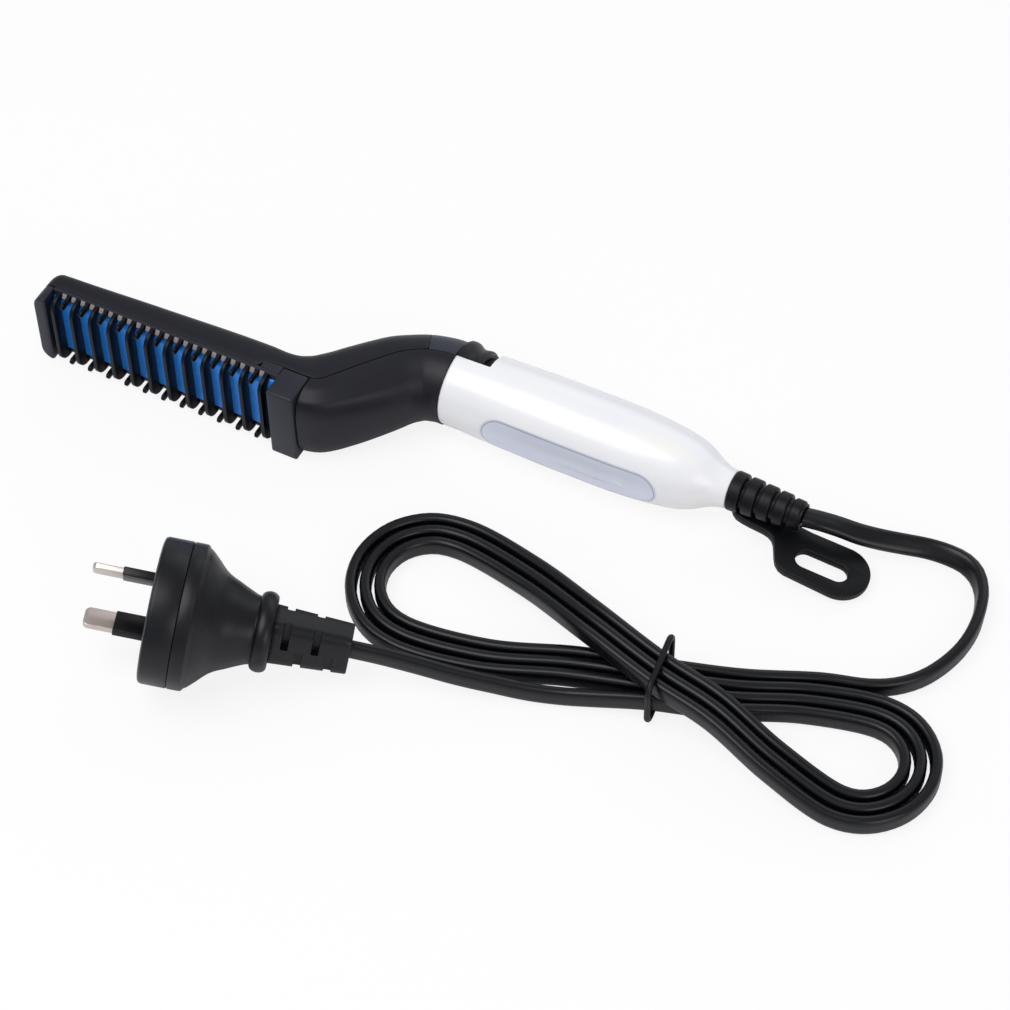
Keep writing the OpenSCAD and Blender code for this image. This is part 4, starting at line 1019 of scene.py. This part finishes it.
def make_plug_body():
    """Face disc with a fine groove, a concave bell and a rounded collar."""
    edge = DISC_R - DISC_EASE
    rim = [(0, 0), (0, edge - 1.2), (0.12, edge - 0.75), (0.4, edge - 0.3), (0.8, edge - 0.08), (1.3, edge),
           (4, edge), (GROOVE_X - 0.35, edge), (GROOVE_X - 0.15, edge - 0.1), (GROOVE_X, edge - 0.4),
           (GROOVE_X + 0.15, edge - 0.1), (GROOVE_X + 0.35, edge), (10.4, edge), (DISC_T - 0.6, edge - 0.05),
           (DISC_T - 0.2, edge - 0.35), (DISC_T + 0.1, edge - 0.85)]
    xs = [DISC_T + 0.3 + i * (COLLAR_X - DISC_T - 0.5) / 24 for i in range(1, 25)]
    bell = [(x, curve_at(BELL, x)) for x in xs]
    collar = [(COLLAR_X, THROAT_R + 0.05), (COLLAR_X + 0.05, THROAT_R + 0.4)]
    c, r = COLLAR_X + COLLAR_LEN / 2, COLLAR_LEN / 2
    collar += [(c - r * cos(radians(a)), COLLAR_R - 1.6 + 1.6 * sin(radians(a)))
               for a in range(10, 171, 10)]
    collar += [(COLLAR_X + COLLAR_LEN, COLLAR_R - 2.2), (COLLAR_X + COLLAR_LEN, 0)]
    plug = turned("plug_moulding", rim + bell + collar, 96, to_place=AT_PLUG)
    smooth_shade(plug, 28)
    dress(plug, "plug", nodes=["plug_body"])


def place_at_plug(obj, angle=0.0):
    obj.data.transform(AT_PLUG @ Matrix.Rotation(radians(angle), 4, "X"))
    return obj


def plug_box(name, x0, x1, y0, y1, z0, z1):
    """Block in the plug's own axes, in mm."""
    return block(name, Vector((x0, y0, z0)) * MM, Vector((x1, y1, z1)) * MM)


def make_pins():
    pins, sleeves = [], []
    for angle in PIN_ANGLES:
        pin = plug_box("pin", -PIN_LEN, 4, PIN_R - PIN_T / 2, PIN_R + PIN_T / 2, -PIN_W / 2, PIN_W / 2)
        tip = -PIN_LEN * MM + 1e-5
        bm = bmesh.new()
        bm.from_mesh(pin.data)
        corners = [e for e in bm.edges if all(v.co.x < tip for v in e.verts)
                   and abs(e.verts[0].co.z - e.verts[1].co.z) < 1e-6]
        bmesh.ops.bevel(bm, geom=corners, offset=PIN_ROUND * MM, segments=6, affect="EDGES", profile=0.5)
        bm.to_mesh(pin.data)
        bm.free()
        bevel(pin, 0.22, 3, 50)
        smooth_shade(pin, 40)
        pins.append(place_at_plug(pin, angle))
        thick, wide = PIN_T / 2 + SLEEVE_GROW, PIN_W / 2 + SLEEVE_GROW
        sleeve = plug_box("sleeve", -PIN_SLEEVE, 0.2, PIN_R - thick, PIN_R + thick, -wide, wide)
        bevel(sleeve, 0.3, 3, 50)
        smooth_shade(sleeve, 40)
        sleeves.append(place_at_plug(sleeve, angle))
    dress(join("plug_blades", pins), "nickel", nodes=["plug_pins"])
    dress(join("blade_sleeves", sleeves), "pin_sleeve", nodes=["pin_sleeves"])


FLEX_X, FLEX_PITCH, FLEX_W, FLEX_MID, FLEX_CORE = 2.9, 4, 2, -0.3, 2.6
FLEX_HALF, FLEX_THICK, FLEX_SQUARE, FLEX_RINGS, FLEX_SIDES = (7.1, 6.2), (5.6, 4.6), 0.42, 13, 40
FLEX_FAR = 9


def make_plug_relief():
    """Tapered block with rounded sides and staggered pockets on both faces, the pockets that let the real
    relief bend.
    """
    x0, x1 = COLLAR_X + COLLAR_LEN - 0.3, PLUG_LEN
    rings = []
    for i in range(FLEX_RINGS):
        x, half, thick = (a + (b - a) * i / (FLEX_RINGS - 1) for a, b in ((x0, x1), FLEX_HALF, FLEX_THICK))
        ring = []
        for j in range(FLEX_SIDES):
            c, s = cos(2 * pi * j / FLEX_SIDES), sin(2 * pi * j / FLEX_SIDES)
            y = thick * copysign(abs(c) ** FLEX_SQUARE, c)
            z = half * copysign(abs(s) ** FLEX_SQUARE, s)
            ring.append(Vector((x, y, z)) * MM)
        rings.append(ring)
    relief = loft("plug_flex_relief", rings)
    bevel(relief, 0.4, 2, 60)
    across = Matrix(((0, 0, 1, 0), (1, 0, 0, 0), (0, 1, 0, 0), (0, 0, 0, 1)))
    for i in range(8):
        up, side = (-1 if i % 2 else 1), (-1 if i < 4 else 1)
        y0, y1, z0, z1 = side * FLEX_CORE, side * FLEX_FAR, FLEX_MID, FLEX_MID + up * FLEX_FAR
        outline = [(y0, z0), (y1, z0), (y1, z1), (y0, z1)]
        x = x0 + FLEX_X + i % 4 * FLEX_PITCH
        slot = prism("flex_slot", outline if up == side else outline[::-1], x, x + FLEX_W)
        slot.data.transform(across)
        bevel(slot, 0.3, 2)
        cut(relief, slot)
    smooth_shade(relief, 30)
    place_at_plug(relief)
    dress(relief, "plug", nodes=["plug_relief"])


# Inner pieces keep the frame's shapes and get their own finishes
INNER = {
    "heating_element": "ceramic", "insulation_film": "film", "heater_clamp": "spring_steel",
    "thermal_fuse": "lacquer_tan", "heater_screws": "zinc", "switch_lever": "spring_steel",
    "switch_body": "switch_grey", "chassis_front": "dark_inside", "chassis_back": "dark_inside",
    "chassis_screws": "zinc", "circuit_board": "board", "board_resistor": "lacquer_tan",
    "board_diode": "epoxy", "heater_leads": "silicone", "cord_clamp": "switch_grey",
    "clamp_screws": "zinc", "cord_inlet": "cord",
}


def dress_inner():
    for node, finish in INNER.items():
        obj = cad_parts[node]
        obj.data.materials.clear()
        obj.data.materials.append(FINISH[finish])


# Floor, lights and world
FLOOR_SIZE, FLOOR_Z, FLOOR_GLOW = 6, -0.0002, 0.85
WORLD_COLOUR, WORLD_STRENGTH = (0.95, 0.96, 1, 1), 0.48
LAMPS = [  # name, place, size, power and tint
    ("key", (-0.25, -0.35, 0.9), (0.7, 0.7), 5.6, (1, 1, 1)),
    ("back", (0.1, 0.8, 0.55), (1.0, 0.5), 1.4, (0.95, 0.97, 1)),
    ("side", (0.8, -0.5, 0.45), (0.5, 0.5), 2, (1, 0.98, 0.96)),
]


def make_floor():
    """White floor that glows a little to the camera alone."""
    clear()
    bpy.ops.mesh.primitive_plane_add(size=FLOOR_SIZE, location=(0, 0, FLOOR_Z))
    ground = bpy.context.object
    ground.name = "floor"
    m, n, link, shader = new_material("white_floor")
    put(shader, Base_Color=(0.9, 0.9, 0.92, 1), Roughness=0.6)
    glow, mix = n.new("ShaderNodeEmission"), n.new("ShaderNodeMixShader")
    path, lift = n.new("ShaderNodeLightPath"), n.new("ShaderNodeMath")
    put(glow, Strength=1.0)
    lift.operation = "MULTIPLY"
    lift.inputs[1].default_value = FLOOR_GLOW
    link(path.outputs["Is Camera Ray"], lift.inputs[0])
    link(lift.outputs["Value"], mix.inputs["Fac"])
    link(shader.outputs["BSDF"], mix.inputs[1])
    link(glow.outputs["Emission"], mix.inputs[2])
    link(mix.outputs["Shader"], n["Material Output"].inputs["Surface"])
    ground.data.materials.append(m)


def make_lights():
    """Three soft lamps aimed at the middle, and a pale world."""
    for name, place, size, power, tint in LAMPS:
        data = bpy.data.lights.new(name, "AREA")
        data.shape, data.size, data.size_y = "RECTANGLE", size[0], size[1]
        data.energy, data.color = power, tint
        lamp = bpy.data.objects.new(name, data)
        lamp.location = place
        lamp.rotation_euler = (-Vector(place)).to_track_quat("-Z", "Y").to_euler()
        bpy.context.scene.collection.objects.link(lamp)
    world = bpy.data.worlds.new("studio")
    world.use_nodes = True
    bpy.context.scene.world = world
    put(world.node_tree.nodes["Background"], Color=WORLD_COLOUR, Strength=WORLD_STRENGTH)


def main():
    bpy.context.scene.view_settings.view_transform = "Standard"
    make_camera()
    cord, path, length = make_cord()
    dress(cord, "cord", nodes=["cord_lead", "cord_hank", "cord_tail"])
    make_floor()
    make_lights()
    for make in (make_sleeve, make_label, make_head_shell, make_bridge, make_neck_front, make_knob,
                 make_ribs, make_teeth, make_cage, make_root_facets, make_bar, make_relief, make_tie,
                 make_plug_body, make_plug_relief, make_pins):
        make()
    dress_inner()
    print("lead length", round(length, 4))
    clear()


main()
